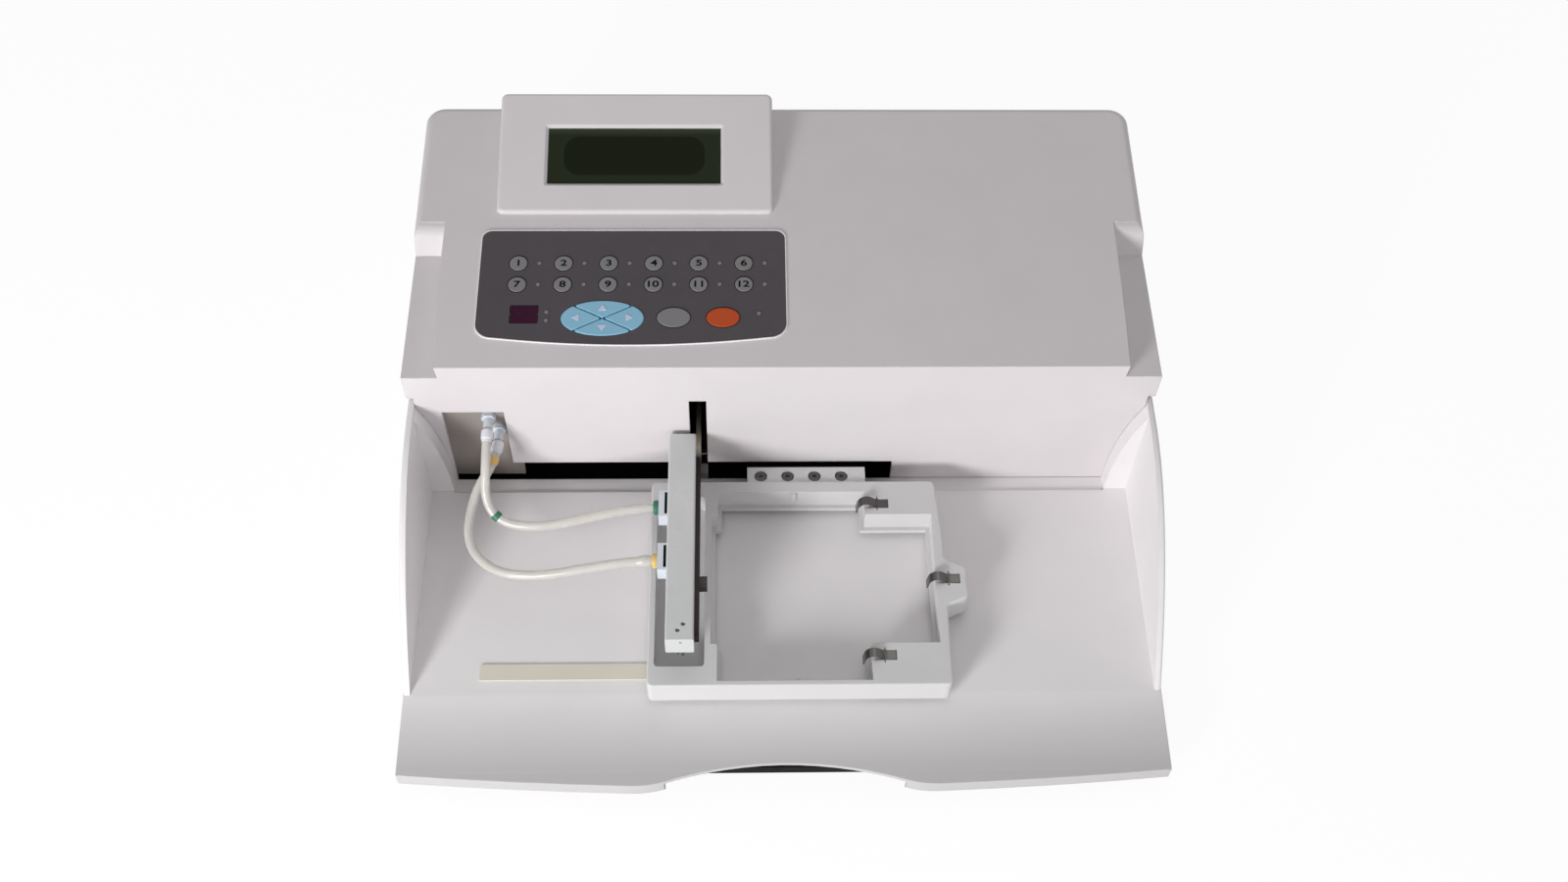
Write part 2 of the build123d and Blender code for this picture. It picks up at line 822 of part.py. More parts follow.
def grip_cutter(grow):
    """Cut for the right-hand grip scoop, grown towards the hood's inside."""
    floor = grip_floor_z - grow
    back = wall_y + grip_length + grow
    top = parting_z + 100
    deck_above = deck_z(back) + 0.05
    with BuildPart() as cutter:
        with BuildSketch(Plane.YZ.offset(half_width - 60)):
            with BuildLine():
                ramp_foot = (back - 5, floor)
                shoulder = (back, floor + (deck_above - floor) * 0.55)
                Polyline((wall_y - 10, top), (wall_y - 10, floor), ramp_foot, shoulder)
                crest = (back + grip_ramp, deck_above)
                Bezier(shoulder, (back + grip_ramp * 0.35, deck_above), crest)
                Polyline(crest, (back + grip_ramp, top), (wall_y - 10, top))
            make_face()
        extrude(amount=120)
        with BuildPart(mode=Mode.INTERSECT):
            sections = (
                (wall_y - 10, grip_front_inset, grip_front_inset - grip_front_lean),
                (back + 2 * grip_ramp, grip_rear_inset, grip_top_inset),
            )
            for y, low_inset, deck_inset in sections:
                lean = (low_inset - deck_inset) / (deck_above - grip_floor_z)
                low_x = half_width - low_inset - grow - lean * 10
                high_x = low_x + lean * (top - grip_floor_z + 10)
                with BuildSketch(Plane.XZ.offset(-y)):
                    with BuildLine():
                        Polyline(
                            (low_x, grip_floor_z - 10),
                            (high_x, top),
                            (half_width + 60, top),
                            (half_width + 60, grip_floor_z - 10),
                            close=True,
                        )
                    make_face()
            loft(ruled=True)
    return cutter.part


glass_y = (display_front_y + display_rear_y) / 2 + glass_shift_y
glass_x = (display_left_x + display_right_x) / 2 + glass_shift_x
glass_depth = shell - glass_thickness
arm_slot_left_x = arm_x - arm_slot_width / 2


def display_form(inset):
    """Wedge of the display housing, drawn in by an inset."""
    low = deck_z(display_front_y) - 12
    front = display_front_y + inset
    back = display_rear_y - inset
    with BuildPart() as form:
        with BuildSketch(Plane.YZ.offset(display_left_x + inset)):
            with BuildLine():
                Polyline(
                    (front, low),
                    (front, display_z(front) - inset),
                    (back, display_z(back) - inset),
                    (back, low),
                    close=True,
                )
            make_face()
        extrude(amount=display_right_x - display_left_x - 2 * inset)
        if inset == 0:
            upright = form.edges().filter_by(Axis.Z)
            fillet(upright, display_corner_radius)
            fillet(form.faces().sort_by(Axis.Z)[-1].edges(), display_edge_radius)
    return form.part


with BuildPart() as hood:
    add(hood_form(0, parting_z))
    skirt_half = bay_half_width - panel_gap
    skirt_low_z = ledge_z - skirt_lap
    add(block(-skirt_half, skirt_half, wall_y, wall_back_y, skirt_low_z, parting_z + 12))
    rim_edges = hood.edges().filter_by(lambda e: e.center().Z > deck_front_z - 9 and e.center().Y > wall_y + 1)
    rim_edges = rim_edges.filter_by(lambda e: abs(e.center().X) > half_width - 8 or e.center().Y > rear_y - 8)
    fillet(rim_edges, deck_edge_radius)
    scoop = grip_cutter(0)
    add([scoop, scoop.mirror(Plane.YZ)], mode=Mode.SUBTRACT)
    add(display_form(0))
    inner_scoop = grip_cutter(shell)
    cavity = hood_form(shell, parting_z - 1) - inner_scoop - inner_scoop.mirror(Plane.YZ)
    add(cavity, mode=Mode.SUBTRACT)
    add(display_form(shell), mode=Mode.SUBTRACT)
    # carriage slot, slot for the lift arm and the window for the hoses
    low = skirt_low_z - 1
    add(
        block(hose_window_right_x - 1, slot_right_x, wall_y - 1, wall_back_y + 1, low, slot_top_z),
        mode=Mode.SUBTRACT,
    )
    add(
        block(
            arm_slot_left_x, arm_slot_left_x + arm_slot_width,
            wall_y - 1, wall_back_y + 1, low, arm_slot_top_z,
        ),
        mode=Mode.SUBTRACT,
    )
    add(
        block(hose_window_left_x, hose_window_right_x, wall_y - 1, wall_back_y + 1, low, hose_window_top_z),
        mode=Mode.SUBTRACT,
    )
    # display opening with its bevel, and the rebate that the glass sits in
    with BuildSketch(display_plane(glass_x, glass_y)):
        RectangleRounded(glass_width + 2 * glass_bevel, glass_height + 2 * glass_bevel, 1.5)
    extrude(amount=-glass_depth, taper=degrees(atan2(glass_bevel, glass_depth)), mode=Mode.SUBTRACT)
    with BuildSketch(display_plane(glass_x, glass_y, -glass_depth)):
        rim = 2 * (glass_rebate + seat_gap)
        Rectangle(glass_width + rim, glass_height + rim)
    extrude(amount=-shell, mode=Mode.SUBTRACT)
    with BuildSketch(display_plane(glass_x, glass_y, 1)):
        Rectangle(glass_width, glass_height)
    extrude(amount=-2 * shell, mode=Mode.SUBTRACT)
    extrude(keypad_openings(deck_plane(film_x, film_y, 1)), amount=-2 * shell, mode=Mode.SUBTRACT)
save(hood, "hood", white)

with BuildPart() as display_window:
    with BuildSketch(display_plane(glass_x, glass_y, -shell)):
        Rectangle(glass_width + 2 * glass_rebate, glass_height + 2 * glass_rebate)
    extrude(amount=glass_thickness)
save(display_window, "display_window", (0.1, 0.12, 0.1))

# Display module pressed against the back of the glass
module_depth = 7.0
module_board_width = 130.0
module_board_height = 58.0
with BuildPart() as lcd_module:
    with BuildSketch(display_plane(glass_x, glass_y, -shell)):
        RectangleRounded(glass_width + 10, glass_height + 8, 1.5)
    extrude(amount=-module_depth)
    with BuildSketch(display_plane(glass_x, glass_y, -shell - module_depth)):
        Rectangle(module_board_width, module_board_height)
        with GridLocations(module_board_width - 7, module_board_height - 7, 2, 2):
            Circle(1.6, mode=Mode.SUBTRACT)
    extrude(amount=-1.6)
save(lcd_module, "lcd_module", green)

# Keypad film lying on the deck
with BuildPart() as keypad_film:
    with BuildSketch(film_plane) as film_outline:
        left, right = keypad_left_x - film_x, keypad_right_x - film_x
        front, rear = keypad_front_y - film_y, keypad_rear_y - film_y
        with BuildLine():
            Polyline((left, front), (left, rear), (right, rear), (right, front))
            ThreePointArc((right, front), (0, front - keypad_bow), (left, front))
        make_face()
        fillet(film_outline.vertices().group_by(Axis.Y)[-1], keypad_rear_radius)
        fillet(film_outline.vertices().group_by(Axis.Y)[0], keypad_front_radius)
    extrude(amount=film_thickness)
    extrude(keypad_openings(deck_plane(film_x, film_y, -1)), amount=3, mode=Mode.SUBTRACT)
save(keypad_film, "keypad_film", slate)

# Keys: domed caps that slide through the film and the deck


def save_key(name, x, y, sketch, colour):
    """One key cap from its own outline, standing a little proud of the film."""
    with BuildPart() as key:
        with BuildSketch(deck_plane(x, y, -key_depth)):
            add(sketch)
        extrude(amount=key_depth + film_thickness + key_rise)
        top = key.faces().filter_by(lambda f: f.normal_at().dot(deck_up) > 0.99)
        chamfer(top.edges(), key_dome)
    save(key, name, colour)


with BuildSketch() as round_key:
    Circle(key_diameter / 2)
with BuildSketch() as oval_key:
    Ellipse(oval_half_x, oval_half_y)
for number, (x, y) in enumerate(key_places, start=1):
    save_key(f"number_key_{number:02d}", x, y, round_key.sketch, (0.45, 0.45, 0.46))
for direction in ("up", "down", "left", "right"):
    save_key(f"arrow_key_{direction}", arrow_pad_x, arrow_pad_y, arrow_sector(direction), (0.45, 0.75, 0.88))
save_key("cycle_key", cycle_key_x, oval_key_y, oval_key.sketch, (0.5, 0.5, 0.51))
save_key("start_key", start_key_x, oval_key_y, oval_key.sketch, (0.9, 0.35, 0.12))

with BuildPart() as indicator_lamps:
    with BuildSketch(deck_plane(film_x, film_y, -lamp_depth)):
        with Locations(*[on_film(x, y) for x, y in lamp_places]):
            Circle(lamp_diameter / 2)
    extrude(amount=lamp_depth + film_thickness + lamp_rise)
save(indicator_lamps, "indicator_lamps", (0.5, 0.5, 0.5))

# Hose panel behind its window, with two straight nipples
with BuildPart() as hose_panel:
    add(
        block(
            hose_window_left_x - shell, hose_window_right_x + panel_margin, wall_back_y,
            wall_back_y + panel_thickness, ledge_z + panel_foot_gap, hose_window_top_z + 2 * shell,
        )
    )
    with Locations(Plane.XZ.offset(-wall_back_y)):
        with Locations(nipple_supply, nipple_drain):
            Hole(hose_diameter / 2 + seat_gap)
save(hose_panel, "hose_panel", light_grey)

with BuildPart() as panel_nipples:
    for x, z in (nipple_supply, nipple_drain):
        with BuildSketch(Plane.XZ.offset(-wall_back_y)):
            with Locations((x, z)):
                RegularPolygon(nipple_flange_diameter / 2, 6)
        extrude(amount=nipple_flange)
        with BuildSketch(Plane.XZ.offset(-nipple_tip_y)):
            with Locations((x, z)):
                Circle(hose_diameter / 2)
        extrude(amount=-(nipple_reach + nipple_flange + panel_thickness + nipple_tail))
save(panel_nipples, "panel_nipples", (0.9, 0.9, 0.92))

# Plate carrier with its two plate openings, priming trough and clip pockets

clip_places = (
    ("plate_clip_rear", portrait_right_x, clip_rear_y),
    ("plate_clip_side", landscape_right_x, clip_side_y),
    ("plate_clip_front", portrait_right_x, clip_front_y),
)
clip_pivot_z = carrier_top_z - clip_pin_drop

with BuildPart() as carrier:
    with BuildSketch(Plane.XY.offset(carrier_bottom_z)):
        with BuildLine():
            Polyline(
                (carrier_left_x, carrier_front_y),
                (carrier_left_x, carrier_rear_y),
                (carrier_right_x - carrier_taper, carrier_rear_y),
                (carrier_right_x, ear_tab_rear_y + carrier_taper_length),
                (carrier_right_x, ear_tab_rear_y),
                (ear_tab_right_x, ear_tab_rear_y - ear_tab_chamfer),
                (ear_tab_right_x, ear_tab_front_y + ear_tab_chamfer),
                (carrier_right_x, ear_tab_front_y),
                (carrier_right_x, carrier_front_y),
                close=True,
            )
        outline = make_face()
        outer = outline.vertices()
        fillet(outer, carrier_corner_radius)
    extrude(amount=carrier_height)
    fillet(carrier.edges().group_by(Axis.Z)[-1], carrier_edge_radius)
    # openings for a plate lying either way, with a lip that it rests on
    lip_z = carrier_bottom_z + carrier_lip_height
    for inset, bottom_z in ((0.0, lip_z), (carrier_floor_lip, carrier_bottom_z - 1)):
        for x0, x1, y0, y1 in (
            (portrait_left_x, portrait_right_x, portrait_front_y, portrait_rear_y),
            (landscape_left_x, landscape_right_x, landscape_front_y, landscape_rear_y),
        ):
            cut = block(x0 + inset, x1 - inset, y0 + inset, y1 - inset, bottom_z, carrier_top_z + 1)
            add(cut, mode=Mode.SUBTRACT)
    trough_x = (trough_left_x + trough_right_x) / 2
    trough_y = (trough_front_y + trough_rear_y) / 2
    with BuildSketch(Plane.XY.offset(carrier_top_z)):
        with Locations((trough_x, trough_y)):
            RectangleRounded(trough_width, trough_rear_y - trough_front_y, trough_corner_radius)
    extrude(amount=-(carrier_height - trough_floor), mode=Mode.SUBTRACT)
    # tab over the carriage bracket, with countersunk screw holes
    add(block(tab_left_x, tab_right_x, carrier_rear_y - 1, tab_rear_y, tab_bottom_z, tab_top_z))
    with Locations(Location((screw_first_x, screw_y, tab_top_z))):
        with Locations(*[(screw_pitch * i, 0) for i in range(screw_count)]):
            CounterBoreHole(
                screw_shank_diameter / 2 + seat_gap,
                screw_head_diameter / 2 + screw_ring_gap,
                screw_head_sunk + screw_head_height,
                depth=tab_thickness + 1,
            )
    # clip pockets and the small stops on the long edges
    for name, edge_x, y in clip_places:
        pocket_end_x = edge_x + clip_pivot_offset + clip_tail + clip_pocket_play
        half = clip_width / 2 + clip_pocket_play
        pocket_floor_z = carrier_top_z - clip_pocket_depth
        add(
            block(edge_x - 1, pocket_end_x, y - half, y + half, pocket_floor_z, carrier_top_z + 1),
            mode=Mode.SUBTRACT,
        )
        with Locations(Location((edge_x + clip_pivot_offset, y, clip_pivot_z), (90, 0, 0))):
            Cylinder(clip_pin_diameter / 2 + seat_gap, clip_width + clip_pin_reach + 1, mode=Mode.SUBTRACT)
    stop_high_z = carrier_top_z - stop_top_drop
    for wall_side_y, tip_y in (
        (portrait_rear_y + 1, portrait_rear_y - stop_reach),
        (portrait_front_y - 1, portrait_front_y + stop_reach),
    ):
        y0, y1 = sorted((wall_side_y, tip_y))
        add(block(stop_x, stop_x + stop_width, y0, y1, stop_high_z - stop_height, stop_high_z))
    glide_y = strip_front_y + (strip_width - glide_length) / 2
    glide_z = tray_z + strip_height + panel_gap
    add(
        block(
            glide_left_x, glide_left_x + glide_width, glide_y, glide_y + glide_length,
            glide_z, carrier_bottom_z + carrier_lip_height / 2,
        )
    )
save(carrier, "carrier", white)

with BuildPart() as carrier_screws:
    with Locations(Location((screw_first_x, screw_y, tab_top_z))):
        with Locations(*[(screw_pitch * i, 0, 0) for i in range(screw_count)]):
            with Locations((0, 0, -screw_head_sunk - screw_head_height)):
                Cylinder(
                    screw_head_diameter / 2, screw_head_height, align=(Align.CENTER, Align.CENTER, Align.MIN)
                )
                Cylinder(
                    screw_shank_diameter / 2, screw_shank_length, align=(Align.CENTER, Align.CENTER, Align.MAX)
                )
    chamfer(carrier_screws.edges().group_by(Axis.Z)[-1], 0.4)
    with BuildSketch(Plane.XY.offset(tab_top_z - screw_head_sunk)):
        with Locations(*[(screw_first_x + screw_pitch * i, screw_y) for i in range(screw_count)]):
            RegularPolygon(screw_socket_width / 2, 6)
    extrude(amount=-screw_socket_depth, mode=Mode.SUBTRACT)
save(carrier_screws, "carrier_screws", steel)

# Sprung clips: a bent steel lever on a pin, its nose reaching into the plate opening
for name, edge_x, y in clip_places:
    pivot_x = edge_x + clip_pivot_offset
    with BuildPart() as clip:
        with BuildSketch(Plane.XZ.offset(-(y + clip_width / 2))):
            with BuildLine() as leaf:
                nose = (edge_x - clip_reach, carrier_top_z - clip_drop)
                knee = (edge_x - clip_reach * 0.55, carrier_top_z + clip_arch * 0.35)
                crown = (edge_x + 1.0, carrier_top_z + clip_arch)
                foot = (pivot_x, clip_pivot_z)
                tail = (pivot_x + clip_tail, clip_pivot_z + 0.2)
                Spline(nose, knee, crown, foot, tail, tangents=[(0.25, 1), (1, 0)])
            trace(leaf.line, line_width=clip_thickness)
        extrude(amount=clip_width)
        with Locations(Location((pivot_x, y, clip_pivot_z), (90, 0, 0))):
            Cylinder(clip_pin_diameter / 2, clip_width + clip_pin_reach)
    save(clip, name, steel)

# Carriage drive: rail on the base plate, bearing block, bracket through the slot, belt and pulleys

with BuildPart() as carriage_rail:
    with BuildSketch(Plane.YZ.offset(rail_left_x)):
        with Locations((rail_y, base_top_z + rail_height / 2)):
            Rectangle(rail_width, rail_height)
            with Locations((-rail_width / 2, rail_height * 0.1), (rail_width / 2, rail_height * 0.1)):
                Circle(1.4, mode=Mode.SUBTRACT)
    extrude(amount=rail_length)
    with BuildSketch(Plane.XY.offset(base_top_z + rail_height)):
        with Locations((rail_left_x + rail_length / 2, rail_y)):
            with GridLocations(rail_bore_pitch, 1, int(rail_length // rail_bore_pitch), 1):
                Circle(rail_bore / 2)
    extrude(amount=-rail_bore_depth, mode=Mode.SUBTRACT)
save(carriage_rail, "carriage_rail", steel)

block_left_x = block_centre_x - block_length / 2
block_right_x = block_centre_x + block_length / 2
block_front_y = rail_y - block_width / 2
block_rear_y = rail_y + block_width / 2
belt_front_y = pulley_y - pulley_radius - panel_gap - belt_thickness
belt_inner_y = belt_front_y + belt_thickness
with BuildPart() as bearing_block:
    block_low_z = block_top_z - block_height
    add(block(block_left_x, block_right_x, block_front_y, block_rear_y, block_low_z, block_top_z))
    chamfer(bearing_block.edges().filter_by(Axis.X).group_by(Axis.Z)[-1], 1.0)
    channel_half = rail_width / 2 + seat_gap
    channel_top = base_top_z + rail_height + seat_gap
    add(
        block(
            block_left_x - 1, block_right_x + 1, rail_y - channel_half, rail_y + channel_half, 0, channel_top
        ),
        mode=Mode.SUBTRACT,
    )
    # two jaws that stand either side of the belt's front run
    shelf_z = belt_z - belt_width / 2 - panel_gap
    x0, x1 = block_centre_x - clamp_width / 2, block_centre_x + clamp_width / 2
    rear_jaw_y = belt_inner_y + panel_gap
    front_jaw_y = belt_front_y - panel_gap - clamp_wall
    belt_top_z = belt_z + belt_width / 2
    add(block(x0, x1, block_rear_y - 1, rear_jaw_y + clamp_wall, shelf_z - clamp_shelf, shelf_z))
    add(block(x0, x1, rear_jaw_y, rear_jaw_y + clamp_wall, shelf_z - 1, belt_top_z))
    add(block(x0, x1, front_jaw_y, front_jaw_y + clamp_wall, shelf_z - 1, belt_top_z))
save(bearing_block, "bearing_block", steel)

with BuildPart() as carriage_bracket:
    bracket_front_y = carrier_rear_y + panel_gap
    bracket_rear_y = block_rear_y - bracket_inset
    add(block(tab_left_x, tab_right_x, bracket_front_y, bracket_rear_y, block_top_z, tab_bottom_z))
    fillet(carriage_bracket.edges().filter_by(Axis.Z), 2.0)
    with Locations(Location((screw_first_x, screw_y, tab_bottom_z))):
        with Locations(*[(screw_pitch * i, 0) for i in range(screw_count)]):
            Hole(screw_shank_diameter / 2 + seat_gap)
save(carriage_bracket, "carriage_bracket", black)

loop_inner = pulley_radius + panel_gap
loop_outer = loop_inner + belt_thickness
loop_length = drive_pulley_x - idler_x
with BuildPart() as drive_belt:
    with BuildSketch(Plane.XY.offset(belt_z - belt_width / 2)):
        with Locations(((drive_pulley_x + idler_x) / 2, pulley_y)):
            SlotCenterToCenter(loop_length, 2 * loop_outer)
            SlotCenterToCenter(loop_length, 2 * loop_inner, mode=Mode.SUBTRACT)
    extrude(amount=belt_width)
save(drive_belt, "drive_belt", black)


def pulley_body(bore_radius):
    """Toothed pulley between two thin flanges, standing on its lower flange."""
    with BuildPart() as pulley:
        with BuildSketch(Plane.XY.offset(pulley_bottom_z)):
            Circle(pulley_radius)
            with PolarLocations(pulley_radius, pulley_teeth):
                Circle(groove_radius, mode=Mode.SUBTRACT)
        extrude(amount=pulley_height)
        for z in (pulley_bottom_z, pulley_top_z - pulley_flange):
            with BuildSketch(Plane.XY.offset(z)):
                Circle(pulley_radius + pulley_flange_reach)
            extrude(amount=pulley_flange)
        if bore_radius:
            with BuildSketch(Plane.XY.offset(pulley_bottom_z - 1)):
                Circle(bore_radius)
            extrude(amount=pulley_height + 2, mode=Mode.SUBTRACT)
    return pulley.part


shaft_foot_z = base_top_z + carriage_motor_height - motor_bore_depth + panel_gap
with BuildPart() as drive_pulley:
    with Locations((drive_pulley_x, pulley_y, 0)):
        add(pulley_body(0))
    with Locations((drive_pulley_x, pulley_y, shaft_foot_z)):
        shaft_height = pulley_top_z + shaft_proud - shaft_foot_z
        Cylinder(motor_shaft_diameter / 2, shaft_height, align=(Align.CENTER, Align.CENTER, Align.MIN))
save(drive_pulley, "drive_pulley", steel)

with BuildPart() as idler_pulley:
    with Locations((idler_x, pulley_y, 0)):
        add(pulley_body(stud_pin_diameter / 2 + seat_gap))
save(idler_pulley, "idler_pulley", steel)


def motor_body(height, bore_diameter, bore_depth):
    """Square stepper motor body with chamfered corners, bored for its shaft from the top."""
    with BuildPart() as motor:
        with BuildSketch():
            RectangleRounded(motor_side, motor_side, 4)
        extrude(amount=height)
        with BuildSketch(Plane.XY.offset(height)):
            Circle(bore_diameter / 2 + seat_gap)
        extrude(amount=-bore_depth, mode=Mode.SUBTRACT)
        with BuildSketch(Plane.XY.offset(height * 0.3)):
            Rectangle(motor_side + 2, motor_side + 2)
            RectangleRounded(motor_side - 1.2, motor_side - 1.2, 8, mode=Mode.SUBTRACT)
        extrude(amount=height * 0.4, mode=Mode.SUBTRACT)
    return motor.part


with BuildPart() as carriage_motor:
    with Locations((drive_pulley_x, pulley_y, base_top_z)):
        add(motor_body(carriage_motor_height, motor_shaft_diameter, motor_bore_depth))
save(carriage_motor, "carriage_motor", (0.2, 0.2, 0.22))

# Lift: frame on the base plate, two guide rods, a screw under its motor, and the block on the arm

lift_floor_z = base_top_z + lift_frame_plate
lift_back_y = lift_y + lift_block_depth / 2 + lift_frame_back_gap
lift_rear_y = lift_back_y + lift_frame_plate
lift_front_y = lift_y - lift_block_depth / 2 + lift_frame_front_inset
with BuildPart() as lift_frame:
    left, right = arm_x - lift_frame_width / 2, arm_x + lift_frame_width / 2
    add(block(left, right, lift_front_y, lift_rear_y, base_top_z, lift_floor_z))
    add(block(left, right, lift_back_y, lift_rear_y, base_top_z, lift_top_z))
    add(block(left, right, lift_front_y, lift_rear_y, lift_top_z - lift_frame_plate, lift_top_z))
    with BuildSketch(Plane.XY.offset(base_top_z)):
        with Locations((arm_x, lift_y)):
            with GridLocations(lift_rod_spacing, 1, 2, 1):
                Circle(lift_rod_diameter / 2 + seat_gap)
    extrude(amount=lift_top_z, mode=Mode.SUBTRACT)
    with BuildSketch(Plane.XY.offset(lift_floor_z + 5)):
        with Locations((arm_x, lift_y)):
            Circle(lift_screw_diameter / 2 + seat_gap)
    extrude(amount=lift_top_z, mode=Mode.SUBTRACT)
save(lift_frame, "lift_frame", steel)

with BuildPart() as lift_rods:
    with BuildSketch(Plane.XY.offset(base_top_z)):
        with Locations((arm_x, lift_y)):
            with GridLocations(lift_rod_spacing, 1, 2, 1):
                Circle(lift_rod_diameter / 2)
    extrude(amount=lift_top_z - base_top_z)
save(lift_rods, "lift_rods", steel)

with BuildPart() as lift_screw:
    with Locations((arm_x, lift_y, lift_floor_z + panel_gap)):
        screw_height = lift_top_z + lift_motor_bore - panel_gap - lift_floor_z - panel_gap
        Cylinder(lift_screw_diameter / 2, screw_height, align=(Align.CENTER, Align.CENTER, Align.MIN))
save(lift_screw, "lift_screw", steel)

with BuildPart() as lift_motor:
    with Locations(Location((arm_x, lift_y, lift_top_z + lift_motor_height), (180, 0, 0))):
        add(motor_body(lift_motor_height, lift_screw_diameter, lift_motor_bore))
save(lift_motor, "lift_motor", (0.2, 0.2, 0.22))

lift_block_z = arm_bottom_z + arm_height / 2
arm_rear_y = lift_y - lift_block_depth / 2 + arm_socket_depth
with BuildPart() as lift_block:
    with Locations((arm_x, lift_y, lift_block_z)):
        Box(lift_block_width, lift_block_depth, lift_block_height)
    chamfer(lift_block.edges().filter_by(Axis.Z), 2.0)
    with BuildSketch(Plane.XY.offset(lift_block_z - lift_block_height)):
        with Locations((arm_x, lift_y)):
            with GridLocations(lift_rod_spacing, 1, 2, 1):
                Circle(lift_rod_diameter / 2 + seat_gap)
            Circle(lift_screw_diameter / 2 + seat_gap)
    extrude(amount=2 * lift_block_height, mode=Mode.SUBTRACT)
    arm_socket = block(
        head_right_x, arm_right_x, lift_y - lift_block_depth, arm_rear_y,
        arm_bottom_z, arm_bottom_z + arm_height,
    )
    add(arm_socket, mode=Mode.SUBTRACT)
save(lift_block, "lift_block", black)

# Wash head on its arm

knob_ys = (knob_rear_y, knob_front_y)
with BuildPart() as head_arm:
    add(block(head_right_x, arm_right_x, arm_front_y, arm_rear_y, arm_bottom_z, arm_bottom_z + arm_height))
    fillet(head_arm.edges().filter_by(Axis.X).group_by(Axis.Y)[0], arm_corner_radius)
    with BuildSketch(Plane.YZ.offset(head_right_x - 1)):
        with Locations(*[(y, knob_z) for y in knob_ys]):
            Circle(thread_diameter / 2 + seat_gap)
    extrude(amount=arm_thickness + 2, mode=Mode.SUBTRACT)
save(head_arm, "head_arm", steel)

first_channel_y = channel_centre_y - channel_pitch * (channel_count - 1) / 2
channel_ys = [first_channel_y + channel_pitch * i for i in range(channel_count)]
dispense_x = needle_x - needle_spacing / 2
aspirate_x = needle_x + needle_spacing / 2
with BuildPart() as wash_head:
    add(block(head_left_x, head_right_x, head_front_y, head_rear_y, head_bottom_z, head_top_z))
    fillet(wash_head.edges().filter_by(Axis.Y), head_edge_radius)
    with BuildSketch(Plane.XY.offset(head_bottom_z)):
        with Locations(*[(dispense_x, y) for y in channel_ys]):
            Circle(dispense_diameter / 2 + seat_gap)
        with Locations(*[(aspirate_x, y) for y in channel_ys]):
            Circle(aspirate_diameter / 2 + seat_gap)
    extrude(amount=needle_seat, mode=Mode.SUBTRACT)
    with BuildSketch(Plane.YZ.offset(head_right_x)):
        with Locations(*[(y, knob_z) for y in knob_ys]):
            Circle(thread_diameter / 2 + seat_gap)
    extrude(amount=-thread_reach, mode=Mode.SUBTRACT)
    with BuildSketch(Plane.XY.offset(head_top_z)):
        with Locations(*[(head_left_x + x, head_front_y + y) for x, y in head_hole_places]):
            Circle(1.3)
    extrude(amount=-3, mode=Mode.SUBTRACT)
    with BuildSketch(Plane.XZ.offset(-head_front_y)):
        with Locations((head_left_x + head_mark_inset, head_top_z - head_mark_drop)):
            Circle(0.9)
    extrude(amount=-6, mode=Mode.SUBTRACT)
save(wash_head, "wash_head", white)

with BuildPart() as wash_needles:
    seat_top = head_bottom_z + needle_seat
    for x, diameter, tip_z in (
        (dispense_x, dispense_diameter, dispense_tip_z),
        (aspirate_x, aspirate_diameter, aspirate_tip_z),
    ):
        with BuildSketch(Plane.XY.offset(tip_z)):
            with Locations(*[(x, y) for y in channel_ys]):
                Circle(diameter / 2)
        extrude(amount=seat_top - tip_z)
save(wash_needles, "wash_needles", steel)

collar_x = head_left_x - fitting_depth
hose_start_x = collar_x - collar_length
with BuildPart() as head_fittings:
    for y in (supply_fitting_y, drain_fitting_y):
        fitting_place = ((collar_x + head_left_x) / 2, y, fitting_z)
        with Locations(fitting_place):
            Box(fitting_depth, fitting_width, fitting_height)
        with Locations(Location((collar_x, y, fitting_z), (0, -90, 0))):
            Cylinder(collar_diameter / 2, collar_length, align=(Align.CENTER, Align.CENTER, Align.MIN))
save(head_fittings, "head_fittings", (0.9, 0.9, 0.93))

for name, y in (("head_knob_rear", knob_rear_y), ("head_knob_front", knob_front_y)):
    with BuildPart() as knob:
        with BuildSketch(Plane.YZ.offset(arm_right_x)):
            with Locations((y, knob_z)):
                Circle(knob_diameter / 2)
                with PolarLocations(knob_diameter / 2, 20):
                    Circle(0.35, mode=Mode.SUBTRACT)
        extrude(amount=knob_length)
        with BuildSketch(Plane.YZ.offset(arm_right_x)):
            with Locations((y, knob_z)):
                Circle(thread_diameter / 2)
        extrude(amount=-(arm_thickness + thread_reach - panel_gap))
    save(knob, name, black)

# Electronics, pumps and the rear connections

board_x = pump_left_x - board_gap - board_width / 2
board_y = rear_y - shell - board_rear_gap - board_depth / 2
board_z = base_top_z + spacer_height
chip_side = 22.0
chip_height = 6.0
connector_width = 12.0
connector_depth = 6.0
connector_pitch = 18.0
with BuildPart() as main_board:
    with BuildSketch(Plane.XY.offset(board_z)):
        with Locations((board_x, board_y)):
            Rectangle(board_width, board_depth)
    extrude(amount=board_thickness)
    with BuildSketch(Plane.XY.offset(base_top_z)):
        with Locations((board_x, board_y)):
            with GridLocations(board_width - 2 * board_hole_inset, board_depth - 2 * board_hole_inset, 2, 2):
                Circle(spacer_diameter / 2)
    extrude(amount=spacer_height)
    with BuildSketch(Plane.XY.offset(board_z + board_thickness)):
        with Locations((board_x - 20, board_y), (board_x + 22, board_y + 12)):
            Rectangle(chip_side, chip_side)
        with Locations((board_x, board_y - board_depth / 2 + connector_depth)):
            with GridLocations(connector_pitch, 1, 5, 1):
                Rectangle(connector_width, connector_depth)
    extrude(amount=chip_height)
save(main_board, "main_board", green)

